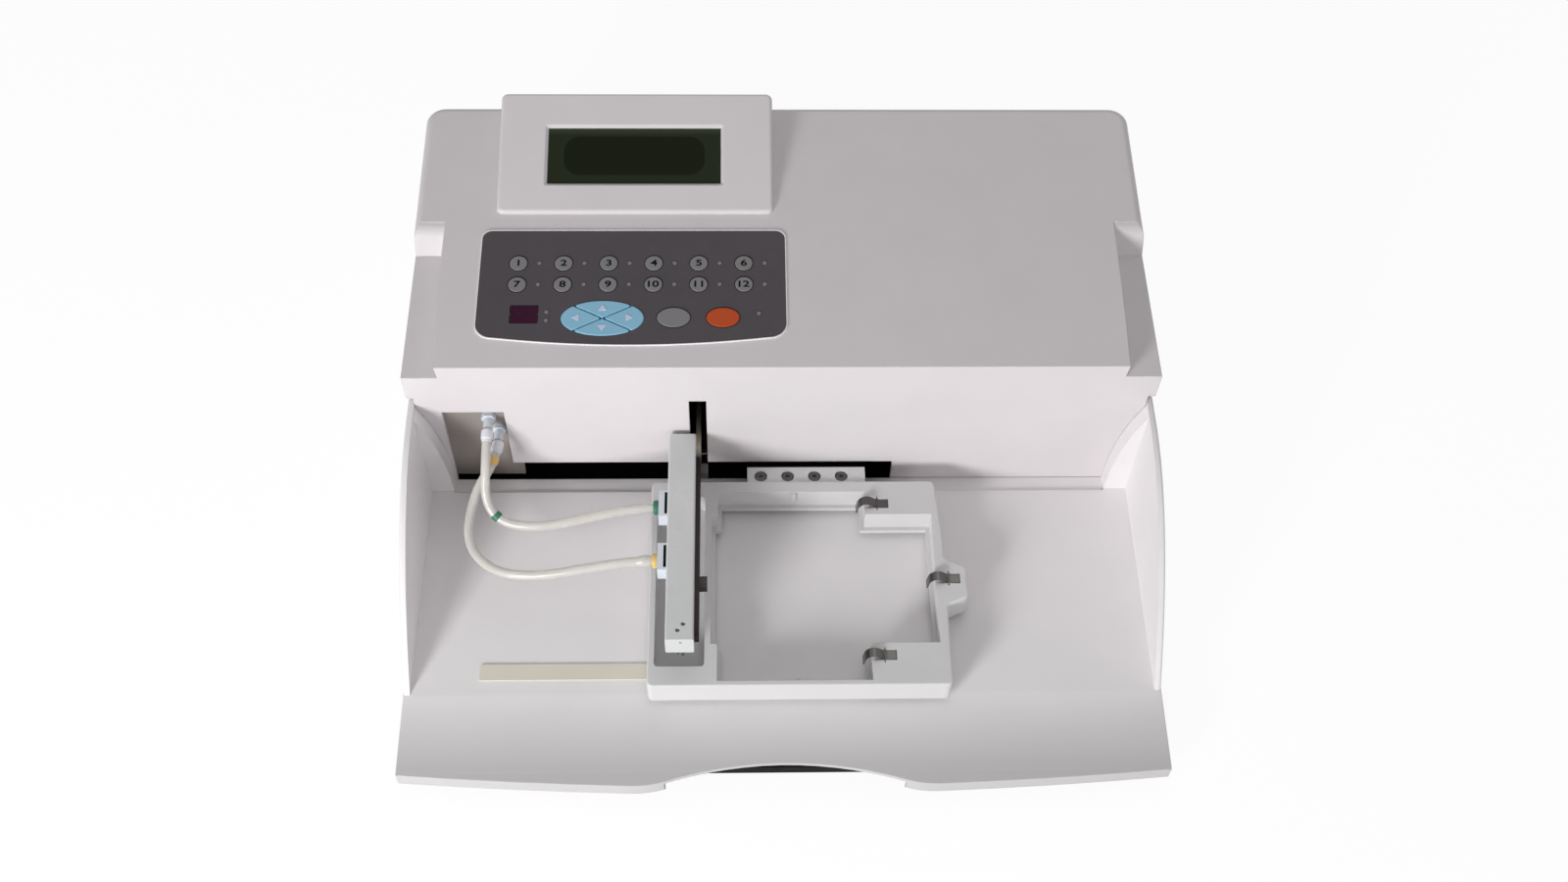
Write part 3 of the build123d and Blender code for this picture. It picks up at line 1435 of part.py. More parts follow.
supply_board_z = base_top_z + supply_plate + supply_post_height
with BuildPart() as power_supply:
    with BuildSketch(Plane.XY.offset(base_top_z)):
        with Locations((supply_x, supply_y)):
            Rectangle(supply_width, supply_depth)
    extrude(amount=supply_plate)
    with BuildSketch(Plane.XY.offset(base_top_z + supply_plate)):
        with Locations((supply_x, supply_y)):
            with GridLocations(
                supply_width - 2 * supply_post_inset, supply_depth - 2 * supply_post_inset, 2, 2
            ):
                Circle(spacer_diameter / 2)
    extrude(amount=supply_post_height)
    with BuildSketch(Plane.XY.offset(supply_board_z)):
        with Locations((supply_x, supply_y)):
            Rectangle(supply_width - 2 * supply_board_inset, supply_depth - 2 * supply_board_inset)
    extrude(amount=board_thickness)
    with BuildSketch(Plane.XY.offset(supply_board_z + board_thickness)):
        with Locations((supply_x + 10, supply_y)):
            Rectangle(30, 34)
        with Locations((supply_x - 35, supply_y)):
            Rectangle(24, 40)
    extrude(amount=supply_part_height)
save(power_supply, "power_supply", green)

first_pump_y = wall_back_y + pump_front_gap + pump_side / 2
nozzle_z = base_top_z + pump_base_height / 2
on_floor = (Align.CENTER, Align.CENTER, Align.MIN)
with BuildPart() as fluid_pumps:
    for y in (first_pump_y, first_pump_y + pump_pitch):
        with Locations((pump_x, y, base_top_z)):
            Box(pump_side, pump_side, pump_base_height, align=on_floor)
        with Locations((pump_x, y, base_top_z + pump_base_height)):
            Cylinder(pump_motor_radius, pump_motor_height, align=on_floor)
        for offset in (-pump_nozzle_offset, pump_nozzle_offset):
            with Locations(Location((pump_x - pump_side / 2, y + offset, nozzle_z), (0, -90, 0))):
                Cylinder(pump_nozzle_radius, pump_nozzle_length, align=on_floor)
    chamfer(fluid_pumps.edges().group_by(Axis.Z)[-1], 1.5)
save(fluid_pumps, "fluid_pumps", (0.25, 0.25, 0.27))

rocker_z = inlet_z + rocker_rise
socket_z = inlet_z - socket_drop
rocker_pivot_y = rear_y - rocker_radius - rocker_recess
with BuildPart() as power_inlet:
    with Locations((inlet_x, rear_y - inlet_depth / 2, inlet_z)):
        Box(inlet_width, inlet_depth, inlet_height)
    with BuildSketch(Plane.XZ.offset(-rear_y)):
        with Locations((inlet_x, socket_z)):
            socket = Rectangle(socket_width, socket_height)
            chamfer(socket.vertices().group_by(Axis.Y)[0], socket_chamfer)
    extrude(amount=socket_depth, mode=Mode.SUBTRACT)
    # the three flat pins stand on the socket's floor
    low_pin_z, high_pin_z = socket_z - pin_offset, socket_z + pin_offset
    with BuildSketch(Plane.XZ.offset(-(rear_y - socket_depth))):
        with Locations(
            (inlet_x - pin_spread, low_pin_z), (inlet_x + pin_spread, low_pin_z), (inlet_x, high_pin_z)
        ):
            Rectangle(pin_width, pin_height)
    extrude(amount=-pin_length)
    cradle = rocker_radius + panel_gap
    with Locations(Location((inlet_x, rocker_pivot_y, rocker_z), (0, 90, 0))):
        Cylinder(cradle, rocker_width + 2 * panel_gap, mode=Mode.SUBTRACT)
    with Locations((inlet_x, rocker_pivot_y, rocker_z)):
        mouth_depth = rear_y - rocker_pivot_y + 1
        Box(
            rocker_width + 2 * panel_gap, mouth_depth, 2 * cradle,
            align=(Align.CENTER, Align.MIN, Align.CENTER), mode=Mode.SUBTRACT,
        )
save(power_inlet, "power_inlet", black)

with BuildPart() as rocker_switch:
    with Locations(Location((inlet_x, rocker_pivot_y, rocker_z), (0, 90, 0))):
        Cylinder(rocker_radius, rocker_width)
    # two flats that meet in a shallow valley, tipped to the off position
    with BuildSketch(Plane.YZ.offset(inlet_x - rocker_width)):
        with Locations(Location((rocker_pivot_y, rocker_z, 0), (0, 0, rocker_tilt))):
            Polygon((3.6, 0), (5.2, 8), (12, 8), (12, -8), (5.2, -8), align=None)
    extrude(amount=2 * rocker_width, mode=Mode.SUBTRACT)
save(rocker_switch, "rocker_switch", black)

with BuildPart() as bottle_ports:
    for i in range(port_count):
        x = port_first_x + port_pitch * i
        with BuildSketch(Plane.XZ.offset(-pocket_y)):
            with Locations((x, port_z)):
                RegularPolygon(port_diameter / 2 + port_flange, 6)
        extrude(amount=-port_flange)
        with BuildSketch(Plane.XZ.offset(-(pocket_y - shell - port_tail))):
            with Locations((x, port_z)):
                Circle(port_diameter / 2)
        extrude(amount=-(port_tail + shell + port_reach))
save(bottle_ports, "bottle_ports", light_grey)

# Hoses: limp silicone tubes from the head's collars to the nipples, with an even bend at every corner


def bend_radii(points):
    """Radius at each inner corner that uses just under half of the shorter run beside it."""
    corners = [Vector(*p) for p in points]
    radii = []
    for before, here, after in zip(corners, corners[1:], corners[2:]):
        run_in, run_out = here - before, after - here
        half_turn = radians(run_in.get_angle(run_out)) / 2
        radii.append(0.45 * min(run_in.length, run_out.length) / tan(half_turn))
    return radii


for name, fitting_y, route, nipple, colour in (
    ("supply_tube", supply_fitting_y, supply_route, nipple_supply, (0.85, 0.83, 0.75)),
    ("drain_tube", drain_fitting_y, drain_route, nipple_drain, (0.85, 0.83, 0.75)),
):
    points = [(hose_start_x, fitting_y, fitting_z), *route, (nipple[0], nipple_tip_y, nipple[1])]
    with BuildPart() as hose:
        with BuildLine() as hose_line:
            FilletPolyline(*points, radius=bend_radii(points))
        with BuildSketch(Plane(origin=hose_line.line @ 0, z_dir=hose_line.line % 0)):
            Circle(hose_diameter / 2)
        sweep(path=hose_line.line)
    save(hose, name, colour)
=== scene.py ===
"""Microplate washer: materials, hoses, printed legends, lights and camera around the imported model."""

import json
from math import cos, pi, radians, sin

import bmesh
import bpy
from mathutils import Matrix, Vector


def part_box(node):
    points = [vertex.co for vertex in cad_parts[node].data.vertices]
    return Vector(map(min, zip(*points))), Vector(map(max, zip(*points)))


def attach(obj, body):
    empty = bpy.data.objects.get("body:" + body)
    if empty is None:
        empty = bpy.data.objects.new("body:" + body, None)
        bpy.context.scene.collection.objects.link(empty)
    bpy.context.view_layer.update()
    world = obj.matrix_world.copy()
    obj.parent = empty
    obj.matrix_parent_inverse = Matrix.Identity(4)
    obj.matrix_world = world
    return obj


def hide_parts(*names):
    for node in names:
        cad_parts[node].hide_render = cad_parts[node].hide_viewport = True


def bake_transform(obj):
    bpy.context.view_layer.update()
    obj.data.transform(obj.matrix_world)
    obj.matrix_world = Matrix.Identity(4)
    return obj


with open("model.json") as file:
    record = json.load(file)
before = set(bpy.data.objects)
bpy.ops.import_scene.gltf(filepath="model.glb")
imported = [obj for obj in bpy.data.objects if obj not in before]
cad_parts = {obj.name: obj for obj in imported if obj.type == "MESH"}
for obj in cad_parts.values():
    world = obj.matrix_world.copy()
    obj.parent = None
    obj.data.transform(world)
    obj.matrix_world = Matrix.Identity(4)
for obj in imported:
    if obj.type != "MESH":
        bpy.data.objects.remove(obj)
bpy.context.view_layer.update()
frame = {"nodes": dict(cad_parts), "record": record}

MM = 0.001
nodes = frame["nodes"]
scene = bpy.context.scene

# Camera: focal length in photograph pixels, and its place and angles, as fitted to the photograph

IMAGE_WIDTH = 1600
SENSOR_MM = 36.0
FOCAL_PX = 1814.16
CAMERA_AT = Vector((-27.08, -604.26, 975.54)) * MM
CAMERA_PITCH = radians(56.218)
CAMERA_YAW = radians(2.703)
CAMERA_ROLL = radians(2.042)


def make_camera():
    """Camera at the photograph's viewing angle."""
    forward = Vector(
        (sin(CAMERA_YAW) * cos(CAMERA_PITCH), cos(CAMERA_YAW) * cos(CAMERA_PITCH), -sin(CAMERA_PITCH))
    )
    level_right = Vector((cos(CAMERA_YAW), -sin(CAMERA_YAW), 0))
    level_up = level_right.cross(forward)
    right = level_right * cos(CAMERA_ROLL) + level_up * sin(CAMERA_ROLL)
    up = -level_right * sin(CAMERA_ROLL) + level_up * cos(CAMERA_ROLL)
    turn = Matrix((right, up, -forward)).transposed().to_4x4()
    data = bpy.data.cameras.new("camera")
    data.sensor_width = SENSOR_MM
    data.lens = FOCAL_PX / IMAGE_WIDTH * SENSOR_MM
    data.clip_start = 0.01
    camera = bpy.data.objects.new("camera", data)
    camera.matrix_world = Matrix.Translation(CAMERA_AT) @ turn
    scene.collection.objects.link(camera)
    scene.camera = camera


make_camera()
scene.view_settings.view_transform = "Standard"


# Material helpers


def linear(red, green, blue):
    """Linear colour from display values of 0 to 255."""
    channels = [c / 255 for c in (red, green, blue)]
    return tuple(c / 12.92 if c <= 0.04045 else ((c + 0.055) / 1.055) ** 2.4 for c in channels) + (1.0,)


class Shader:
    """A Principled material with small helpers for the nodes that feed it."""

    def __init__(self, name, colour, roughness=0.45, **sockets):
        self.material = bpy.data.materials.new(name)
        self.material.use_nodes = True
        self.tree = self.material.node_tree
        self.body = self.tree.nodes["Principled BSDF"]
        self.body.inputs["Base Color"].default_value = colour
        self.body.inputs["Roughness"].default_value = roughness
        for socket, value in sockets.items():
            self.body.inputs[socket.replace("_", " ")].default_value = value
        self.colour = colour
        self.object_place = None

    def node(self, kind, **values):
        made = self.tree.nodes.new(kind)
        for key, value in values.items():
            if key in made.inputs:
                made.inputs[key].default_value = value
            else:
                setattr(made, key, value)
        return made

    def link(self, source, target):
        self.tree.links.new(source, target)

    def place(self, stretch=(1, 1, 1)):
        """Object coordinates, stretched for grain along one axis."""
        if self.object_place is None:
            self.object_place = self.node("ShaderNodeTexCoord")
        mapping = self.node("ShaderNodeMapping")
        mapping.inputs["Scale"].default_value = stretch
        self.link(self.object_place.outputs["Object"], mapping.inputs["Vector"])
        return mapping.outputs["Vector"]

    def noise(self, size_mm, detail=3.0, stretch=(1, 1, 1)):
        """Noise whose features are about size_mm across."""
        noise = self.node("ShaderNodeTexNoise")
        noise.inputs["Scale"].default_value = 1.0 / (size_mm * MM)
        noise.inputs["Detail"].default_value = detail
        self.link(self.place(stretch), noise.inputs["Vector"])
        return noise.outputs["Fac"]

    def along(self, axis, start_mm, stop_mm):
        """0 before start_mm and 1 past stop_mm along an axis of the object."""
        parts = self.node("ShaderNodeSeparateXYZ")
        self.link(self.place(), parts.inputs[0])
        return self.spread(parts.outputs[axis], 0.0, 1.0, start_mm * MM, stop_mm * MM)

    def spread(self, source, low, high, start=0.3, stop=0.7):
        """Map a noise value to the range low to high."""
        spread = self.node("ShaderNodeMapRange")
        for socket, value in (("From Min", start), ("From Max", stop), ("To Min", low), ("To Max", high)):
            spread.inputs[socket].default_value = value
        self.link(source, spread.inputs["Value"])
        return spread.outputs["Result"]

    def tint(self, source, other, direct=False):
        """Blend the base colour towards another where the source is high; direct skips the noise range."""
        mix = self.node("ShaderNodeMix", data_type="RGBA")
        socket = self.body.inputs["Base Color"]
        if socket.is_linked:
            self.link(socket.links[0].from_socket, mix.inputs[6])
        else:
            mix.inputs[6].default_value = self.colour
        mix.inputs[7].default_value = other
        self.link(source if direct else self.spread(source, 0.0, 1.0), mix.inputs[0])
        self.link(mix.outputs[2], socket)
        return self

    def vary_roughness(self, source, low, high):
        self.link(self.spread(source, low, high), self.body.inputs["Roughness"])
        return self

    def bump(self, source, height_mm):
        bump = self.node("ShaderNodeBump")
        bump.inputs["Strength"].default_value = 1.0
        bump.inputs["Distance"].default_value = height_mm * MM
        self.link(source, bump.inputs["Height"])
        normal = self.body.inputs["Normal"]
        if normal.is_linked:
            self.link(normal.links[0].from_socket, bump.inputs["Normal"])
        self.link(bump.outputs["Normal"], normal)
        return self

    def soften(self, radius_mm):
        """Rounded look on sharp moulded edges."""
        bevel = self.node("ShaderNodeBevel", samples=6)
        bevel.inputs["Radius"].default_value = radius_mm * MM
        self.link(bevel.outputs["Normal"], self.body.inputs["Normal"])
        return self


def moulded(name, colour, roughness=0.42, edge=0.5, grain=0.35, height=0.012, shade=0.95, specular=0.4):
    """Moulded plastic: fine spark-eroded grain, slight mottling, softened edges."""
    made = Shader(name, colour, roughness, Specular_IOR_Level=specular)
    darker = tuple(c * shade for c in colour[:3]) + (1.0,)
    if edge:
        made.soften(edge)
    made.tint(made.noise(38, 4.0), darker)
    made.vary_roughness(made.noise(9, 3.0), roughness - 0.05, roughness + 0.07)
    made.bump(made.noise(grain, 2.0), height)
    return made


def metal(name, colour, roughness=0.3, stretch=(1, 1, 1), grain=0.6, edge=0.15):
    """Machined or rolled metal with a drawn grain along one axis."""
    made = Shader(name, colour, roughness, Metallic=1.0)
    made.soften(edge)
    brushed = made.noise(grain, 4.0, stretch)
    made.vary_roughness(brushed, roughness - 0.08, roughness + 0.12)
    made.bump(brushed, 0.01)
    return made


# Materials of the slots; the tray's front apron is a little darker than the rest of its moulding, painted
# shade for the lesser light that falls there

housing_white = moulded("housing_white", linear(238, 235, 236), 0.42, edge=0.8, shade=0.97)
housing_white.tint(housing_white.along(1, -150, -192), linear(200, 197, 198), direct=True)
materials = {
    "white_housing": housing_white,
    "black_plate": moulded("black_plate", linear(5, 5, 6), 0.6, edge=0.3, grain=0.6, shade=0.8, specular=0.1),
    "foot_rubber": moulded("foot_rubber", linear(22, 22, 22), 0.75, edge=0.6, grain=0.8, shade=0.8),
    "cream_strip": moulded("cream_strip", linear(226, 219, 206), 0.35, edge=0.1, grain=1.2, shade=0.95),
    "module_body": moulded("module_body", linear(40, 44, 42), 0.6, edge=0.2),
    "slate_film": moulded(
        "slate_film", linear(80, 75, 80), 0.5, edge=0.0, grain=0.22, height=0.01, specular=0.2
    ),
    "grey_key": moulded("grey_key", linear(130, 128, 130), 0.45, edge=0.4, grain=0.4, specular=0.3),
    "blue_key": moulded("blue_key", linear(146, 200, 228), 0.42, edge=0.4, grain=0.4, specular=0.3),
    "orange_key": moulded("orange_key", linear(198, 78, 30), 0.45, edge=0.4, grain=0.4, specular=0.2),
    "lamp_lens": moulded("lamp_lens", linear(120, 118, 124), 0.25, edge=0.4, grain=1.0),
    "grey_panel": moulded("grey_panel", linear(152, 144, 140), 0.5, edge=0.1, grain=0.5),
    "clear_fitting": moulded("clear_fitting", linear(222, 228, 236), 0.3, edge=0.3),
    "white_carrier": moulded("white_carrier", linear(218, 217, 218), 0.40, edge=0.5),
    "steel": metal("steel", linear(150, 148, 146), 0.24, (1, 8, 8)),
    "rod_chrome": metal("rod_chrome", linear(200, 200, 202), 0.12, (8, 8, 1), edge=0.1),
    "dark_metal": metal("dark_metal", linear(36, 36, 38), 0.42, (1, 6, 6)),
    "bare_metal": metal("bare_metal", linear(150, 146, 142), 0.34, (8, 1, 8)),
    "motor_body": moulded("motor_body", linear(30, 30, 32), 0.4, edge=0.3, grain=0.8),
    "belt_rubber": moulded("belt_rubber", linear(24, 24, 24), 0.7, edge=0.1, grain=0.8),
    "head_white": moulded("head_white", linear(214, 215, 215), 0.30, edge=0.3, grain=1.5, height=0.004),
    "knob_black": moulded("knob_black", linear(62, 59, 57), 0.42, edge=0.2, grain=0.9, height=0.25),
    "board_green": moulded("board_green", linear(24, 92, 48), 0.35, edge=0.1, grain=1.0),
    "pump_plastic": moulded("pump_plastic", linear(60, 60, 62), 0.5, edge=0.5),
    "black_plastic": moulded("black_plastic", linear(20, 20, 20), 0.38, edge=0.4),
    "port_grey": moulded("port_grey", linear(150, 150, 154), 0.4, edge=0.4),
}

# Display window: dark green glass, darker over the lit area, with a painted reflection as a paler band along
# its rear edge


def rounded_mask(shader, centre, half, corner):
    """1 inside a rounded rectangle on the XY plane, 0 outside, from object coordinates."""
    parts = shader.node("ShaderNodeSeparateXYZ")
    shader.link(shader.place(), parts.inputs[0])
    squares = []
    for axis in range(2):
        offset = shader.node("ShaderNodeMath", operation="SUBTRACT")
        shader.link(parts.outputs[axis], offset.inputs[0])
        offset.inputs[1].default_value = centre[axis]
        size = shader.node("ShaderNodeMath", operation="ABSOLUTE")
        shader.link(offset.outputs[0], size.inputs[0])
        past = shader.node("ShaderNodeMath", operation="SUBTRACT")
        shader.link(size.outputs[0], past.inputs[0])
        past.inputs[1].default_value = half[axis] - corner
        clipped = shader.node("ShaderNodeMath", operation="MAXIMUM")
        shader.link(past.outputs[0], clipped.inputs[0])
        clipped.inputs[1].default_value = 0.0
        square = shader.node("ShaderNodeMath", operation="POWER")
        shader.link(clipped.outputs[0], square.inputs[0])
        square.inputs[1].default_value = 2.0
        squares.append(square)
    total = shader.node("ShaderNodeMath", operation="ADD")
    shader.link(squares[0].outputs[0], total.inputs[0])
    shader.link(squares[1].outputs[0], total.inputs[1])
    inside = shader.node("ShaderNodeMath", operation="LESS_THAN")
    shader.link(total.outputs[0], inside.inputs[0])
    inside.inputs[1].default_value = corner * corner
    return inside.outputs[0]


LIT_HALF = (0.0435, 0.013)
LIT_CORNER = 0.010
REFLECTION_START_MM = 7
REFLECTION_STOP_MM = 3

glass_low, glass_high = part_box("display_window")
glass_centre = (Vector(glass_low) + Vector(glass_high)) / 2
glass = Shader("display_glass", linear(38, 44, 30), 0.28, Specular_IOR_Level=0.04)
lit_area = rounded_mask(glass, glass_centre.xy, LIT_HALF, LIT_CORNER)
glass.tint(lit_area, linear(22, 28, 14), direct=True)
rear_mm = glass_high[1] / MM
# Paler band along the rear edge: a painted reflection
rear_reflection_band = glass.along(1, rear_mm - REFLECTION_START_MM, rear_mm - REFLECTION_STOP_MM)
glass.tint(rear_reflection_band, linear(58, 63, 50), direct=True)
materials["display_glass"] = glass

# The hose panel darkens towards its foot, painted shade where it meets the tray

grey_panel = materials["grey_panel"]
grey_panel.tint(grey_panel.along(2, 46, 26), linear(112, 105, 101), direct=True)

# Nodes that differ from the rest of their slot, such as the hood, whose white is a shade darker than the
# tray's as painted shade for the lesser light on its deck

hood_painted_shade = moulded("hood_painted_shade", linear(222, 217, 219), 0.42, edge=0.8, shade=0.97)
screw_steel = metal("screw_steel", linear(96, 94, 94), 0.34, (1, 1, 1), grain=0.8)
clip_steel = metal("clip_steel", linear(92, 90, 88), 0.22, (8, 8, 1), grain=0.8)
# The arm's dark colour alongside the head is painted shade from the head, and its pale tan where it runs back
# into the wall's slot is painted light
arm_metal_shade_and_light = metal("arm_metal_shade_and_light", linear(44, 41, 39), 0.4, (8, 1, 8))
arm_metal_shade_and_light.tint(arm_metal_shade_and_light.along(1, -14, -6), linear(206, 194, 178), direct=True)
node_materials = {
    "hood": hood_painted_shade,
    "carrier_screws": screw_steel,
    "plate_clip_rear": clip_steel,
    "plate_clip_side": clip_steel,
    "plate_clip_front": clip_steel,
    "head_arm": arm_metal_shade_and_light,
}

for entry in frame["record"]["subparts"]:
    node, slot_name = entry["node"], entry["material_slot"]
    chosen = node_materials.get(node) or materials.get(slot_name)
    if chosen:
        nodes[node].data.materials.clear()
        nodes[node].data.materials.append(chosen.material)

# Building helpers


def new_piece(name, mesh, shader, body):
    """Object from a mesh in the row frame, riding on a body."""
    piece = bpy.data.objects.new(name, mesh)
    scene.collection.objects.link(piece)
    mesh.materials.clear()
    mesh.materials.append(shader.material)
    if body:
        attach(piece, body)
    return piece


RAY_FROM_Z = 0.5


def surface_point(node, x, y):
    """Highest point of a CAD node above x, y, and the surface's normal there."""
    found, place, normal, _ = nodes[node].ray_cast(Vector((x, y, RAY_FROM_Z)), Vector((0, 0, -1)))
    if not found:
        raise ValueError(f"nothing of {node} lies under {x:.4f}, {y:.4f}")
    return place, normal


def centre_of(node):
    low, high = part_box(node)
    return (Vector(low) + Vector(high)) / 2


def smooth(piece, angle):
    """Smooth shading that keeps the sharp edges."""
    for face in piece.data.polygons:
        face.use_smooth = True
    piece.data.set_sharp_from_angle(angle=radians(angle))


def bridge(made, loops):
    """Faces between each closed loop of vertices and the next."""
    for inner, outer in zip(loops, loops[1:]):
        count = len(inner)
        for k in range(count):
            made.faces.new((inner[k], inner[(k + 1) % count], outer[(k + 1) % count], outer[k]))


def to_mesh(made, name):
    """Mesh from a bmesh, which is freed."""
    mesh = bpy.data.meshes.new(name)
    made.to_mesh(mesh)
    made.free()
    return mesh


def arc(x, y, radius, first, sweep, steps):
    """Points of an arc round x, y, from an angle in degrees and over a sweep."""
    turns = [radians(first + sweep * k / steps) for k in range(steps + 1)]
    return [(x + radius * cos(turn), y + radius * sin(turn)) for turn in turns]


# Hoses: smooth NURBS lines through the routes of the CAD hoses, then tubes along them

supply_route = (
    (-77.2, -45.5, 68.0),
    (-92.0, -45.5, 68.0),
    (-150.0, -52.5, 53.5),
    (-179.5, -43.0, 56.5),
    (-177.0, -17.5, 89.0),
    (-177.0, -2.5, 89.0),
)
drain_route = (
    (-77.2, -82.0, 68.0),
    (-92.0, -82.0, 68.0),
    (-160.0, -86.0, 51.5),
    (-189.5, -66.5, 53.0),
    (-187.0, -32.5, 62.0),
    (-172.0, -15.5, 76.5),
    (-172.0, -2.5, 76.5),
)
HOSE_SIDES = 20
BAND_SIDES = 32
BAND_STEPS = 24
BLEND_FROM_X = -155 * MM
BLEND_TO_X = -84 * MM


def nurbs_points(name, route):
    """Points along a smooth line whose control points are the route."""
    data = bpy.data.curves.new(name, "CURVE")
    data.dimensions = "3D"
    data.resolution_u = 24
    line = data.splines.new("NURBS")
    line.points.add(len(route) - 1)
    for point, place in zip(line.points, route):
        point.co = (*(Vector(place) * MM), 1.0)
    line.order_u = 3
    line.use_endpoint_u = True
    holder = bpy.data.objects.new(name + "_line", data)
    scene.collection.objects.link(holder)
    mesh = bpy.data.meshes.new_from_object(holder)
    points = [v.co.copy() for v in mesh.vertices]
    bpy.data.objects.remove(holder)
    bpy.data.meshes.remove(mesh)
    return points


def tube_mesh(name, points, radii, sides=HOSE_SIDES):
    """Tube along points; radii gives the radius at each point, and both ends are closed."""
    made = bmesh.new()
    tangents = [
        (points[min(i + 1, len(points) - 1)] - points[max(i - 1, 0)]).normalized() for i in range(len(points))
    ]
    across = tangents[0].orthogonal().normalized()
    rings = []
    for point, tangent, radius in zip(points, tangents, radii):
        across = (across - tangent * across.dot(tangent)).normalized()
        other = tangent.cross(across)
        ring = [
            made.verts.new(
                point + radius * (across * cos(2 * pi * k / sides) + other * sin(2 * pi * k / sides))
            )
            for k in range(sides)
        ]
        rings.append(ring)
    bridge(made, rings)
    made.faces.new(list(reversed(rings[0])))
    made.faces.new(rings[-1])
    return to_mesh(made, name)


silicone = Shader("tube_silicone", linear(236, 234, 231), 0.12, Subsurface_Weight=0.3, Subsurface_Scale=0.003)
silicone.body.inputs["Subsurface Radius"].default_value = (1.0, 0.95, 0.85)
silicone.body.inputs["Transmission Weight"].default_value = 0.35
silicone.body.inputs["IOR"].default_value = 1.41
silicone.tint(silicone.noise(14, 2.0), linear(230, 227, 220))
silicone.bump(silicone.noise(6, 2.0), 0.02)
materials["tube_silicone"] = silicone


def runs_along(points):
    """Length of the path up to each of its points."""
    runs = [0.0]
    for a, b in zip(points, points[1:]):
        runs.append(runs[-1] + (b - a).length)
    return runs


def profile_at(profile, run):
    """Value at a length along a profile of (length mm, value mm) pairs."""
    at = run / MM
    for (a, low), (b, high) in zip(profile, profile[1:]):
        if at <= b:
            share = max(0.0, (at - a) / (b - a))
            return (low + (high - low) * share) * MM
    return profile[-1][1] * MM


def make_hose(name, points, node, end_profile):
    """One hose, whose radius near the head follows end_profile."""
    radii = [profile_at(end_profile, run) for run in runs_along(points)]
    hose = new_piece(name, tube_mesh(name, points, radii), silicone, None)
    smooth(hose, 60)
    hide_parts(node)
    return hose


def cord_band(name, points, profile, shader):
    """A fitting round a hose, from the first to the last length of its profile."""
    start, stop = profile[0][0] * MM, profile[-1][0] * MM
    runs = runs_along(points)
    places, radii = [], []
    for k in range(BAND_STEPS + 1):
        run = start + (stop - start) * k / BAND_STEPS
        i = max(j for j in range(len(runs) - 1) if runs[j] <= run + 1e-9)
        share = (run - runs[i]) / (runs[i + 1] - runs[i])
        places.append(points[i].lerp(points[i + 1], share))
        radii.append(profile_at(profile, run))
    band = new_piece(name, tube_mesh(name, places, radii, BAND_SIDES), shader, "housing")
    smooth(band, 30)
    return band


def hose_blend(hose, points):
    """Bake the hose's placing into its mesh; the start and end points are worked out but not used."""
    start = points[-1].copy()
    start.x = BLEND_FROM_X
    end = start.copy()
    end.x = BLEND_TO_X
    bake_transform(hose)


green_plastic = moulded("green_plastic", linear(52, 118, 88), 0.4, edge=0.2, grain=0.5)
amber_plastic = moulded("amber_plastic", linear(232, 196, 120), 0.36, edge=0.2, grain=0.5)
nut_plastic = moulded("nut_plastic", linear(232, 234, 240), 0.3, edge=0.2, grain=0.8)

# Radius along each hose from the head on, and the fittings round it, as (length mm, radius mm) pairs

SUPPLY_NUT_END = 152.5
DRAIN_NUT_END = 186.0
hose_ends = {
    "supply_hose": ((0, 2.0), (5, 2.1), (7, 2.8), (400, 2.8)),
    "drain_hose": ((0, 3.0), (1.5, 3.5), (5, 3.6), (9, 2.8), (400, 2.8)),
}
NUT = ((0, 2.9), (0.5, 3.6), (5.5, 3.6), (6.0, 3.1), (7.5, 3.0))
SUPPLY_JOINT = ((95.8, 2.9), (96.2, 3.2), (97.7, 3.2), (99.2, 3.2), (99.6, 2.9))
DRAIN_JOINT = ((171.5, 2.9), (172.0, 3.2), (173.5, 3.3), (175.5, 3.2), (176.0, 2.9))


def nut_profile(end):
    """The nut's profile turned round, with its start at a length along the hose."""
    return tuple((end - at, radius) for at, radius in reversed(NUT))


hose_bands = {
    "supply_hose": (
        ("supply_joint", SUPPLY_JOINT, green_plastic),
        ("supply_nut", nut_profile(SUPPLY_NUT_END), nut_plastic),
    ),
    "drain_hose": (
        ("drain_joint", DRAIN_JOINT, amber_plastic),
        ("drain_nut", nut_profile(DRAIN_NUT_END), nut_plastic),
    ),
}

for name, route, node in (
    ("supply_hose", supply_route, "supply_tube"),
    ("drain_hose", drain_route, "drain_tube"),
):
    points = nurbs_points(name, route)
    hose = make_hose(name, points, node, hose_ends[name])
    bands = [
        cord_band(band, points, profile, shader)
        for band, profile, shader in hose_bands[name]
    ]
    hose_blend(hose, points)

# Printed legends: plain numbers on the round keys and triangles on the arrow keys

PRINT_LIFT = 0.05 * MM
PRINT_HEIGHT = 6.2 * MM
PRINT_STRETCH = 1.3
PRINT_DEPTH = 0.01 * MM
PRINT_WEIGHT = 0.13 * MM  # from about 0.165 mm on, the 9 loses faces
# Black of the printed numbers, also used for the painted shade beside the head's fittings
print_and_shade_black = Shader("print_and_shade_black", linear(8, 7, 8), 0.7, Specular_IOR_Level=0.05)
legend_pale = Shader("legend_pale", linear(206, 214, 238), 0.45)
maroon = Shader("maroon_print", linear(60, 14, 44), 0.45, Specular_IOR_Level=0.08)
maroon.tint(maroon.noise(5, 2.0), linear(48, 10, 36))
# Black of the printed rims round the red window, also used for the painted shade round the keys
rim_print_and_gap_shade = Shader("rim_print_and_gap_shade", linear(34, 31, 35), 0.6, Specular_IOR_Level=0.1)


def lay_on(mesh, place, normal, lift):
    """Move a flat mesh drawn round the origin onto a surface point, its X axis kept level."""
    up = normal.normalized()
    right = Vector((1, 0, 0))
    right = (right - up * right.dot(up)).normalized()
    back = up.cross(right)
    turn = Matrix((right, back, up)).transposed().to_4x4()
    mesh.transform(Matrix.Translation(place + up * lift) @ turn)


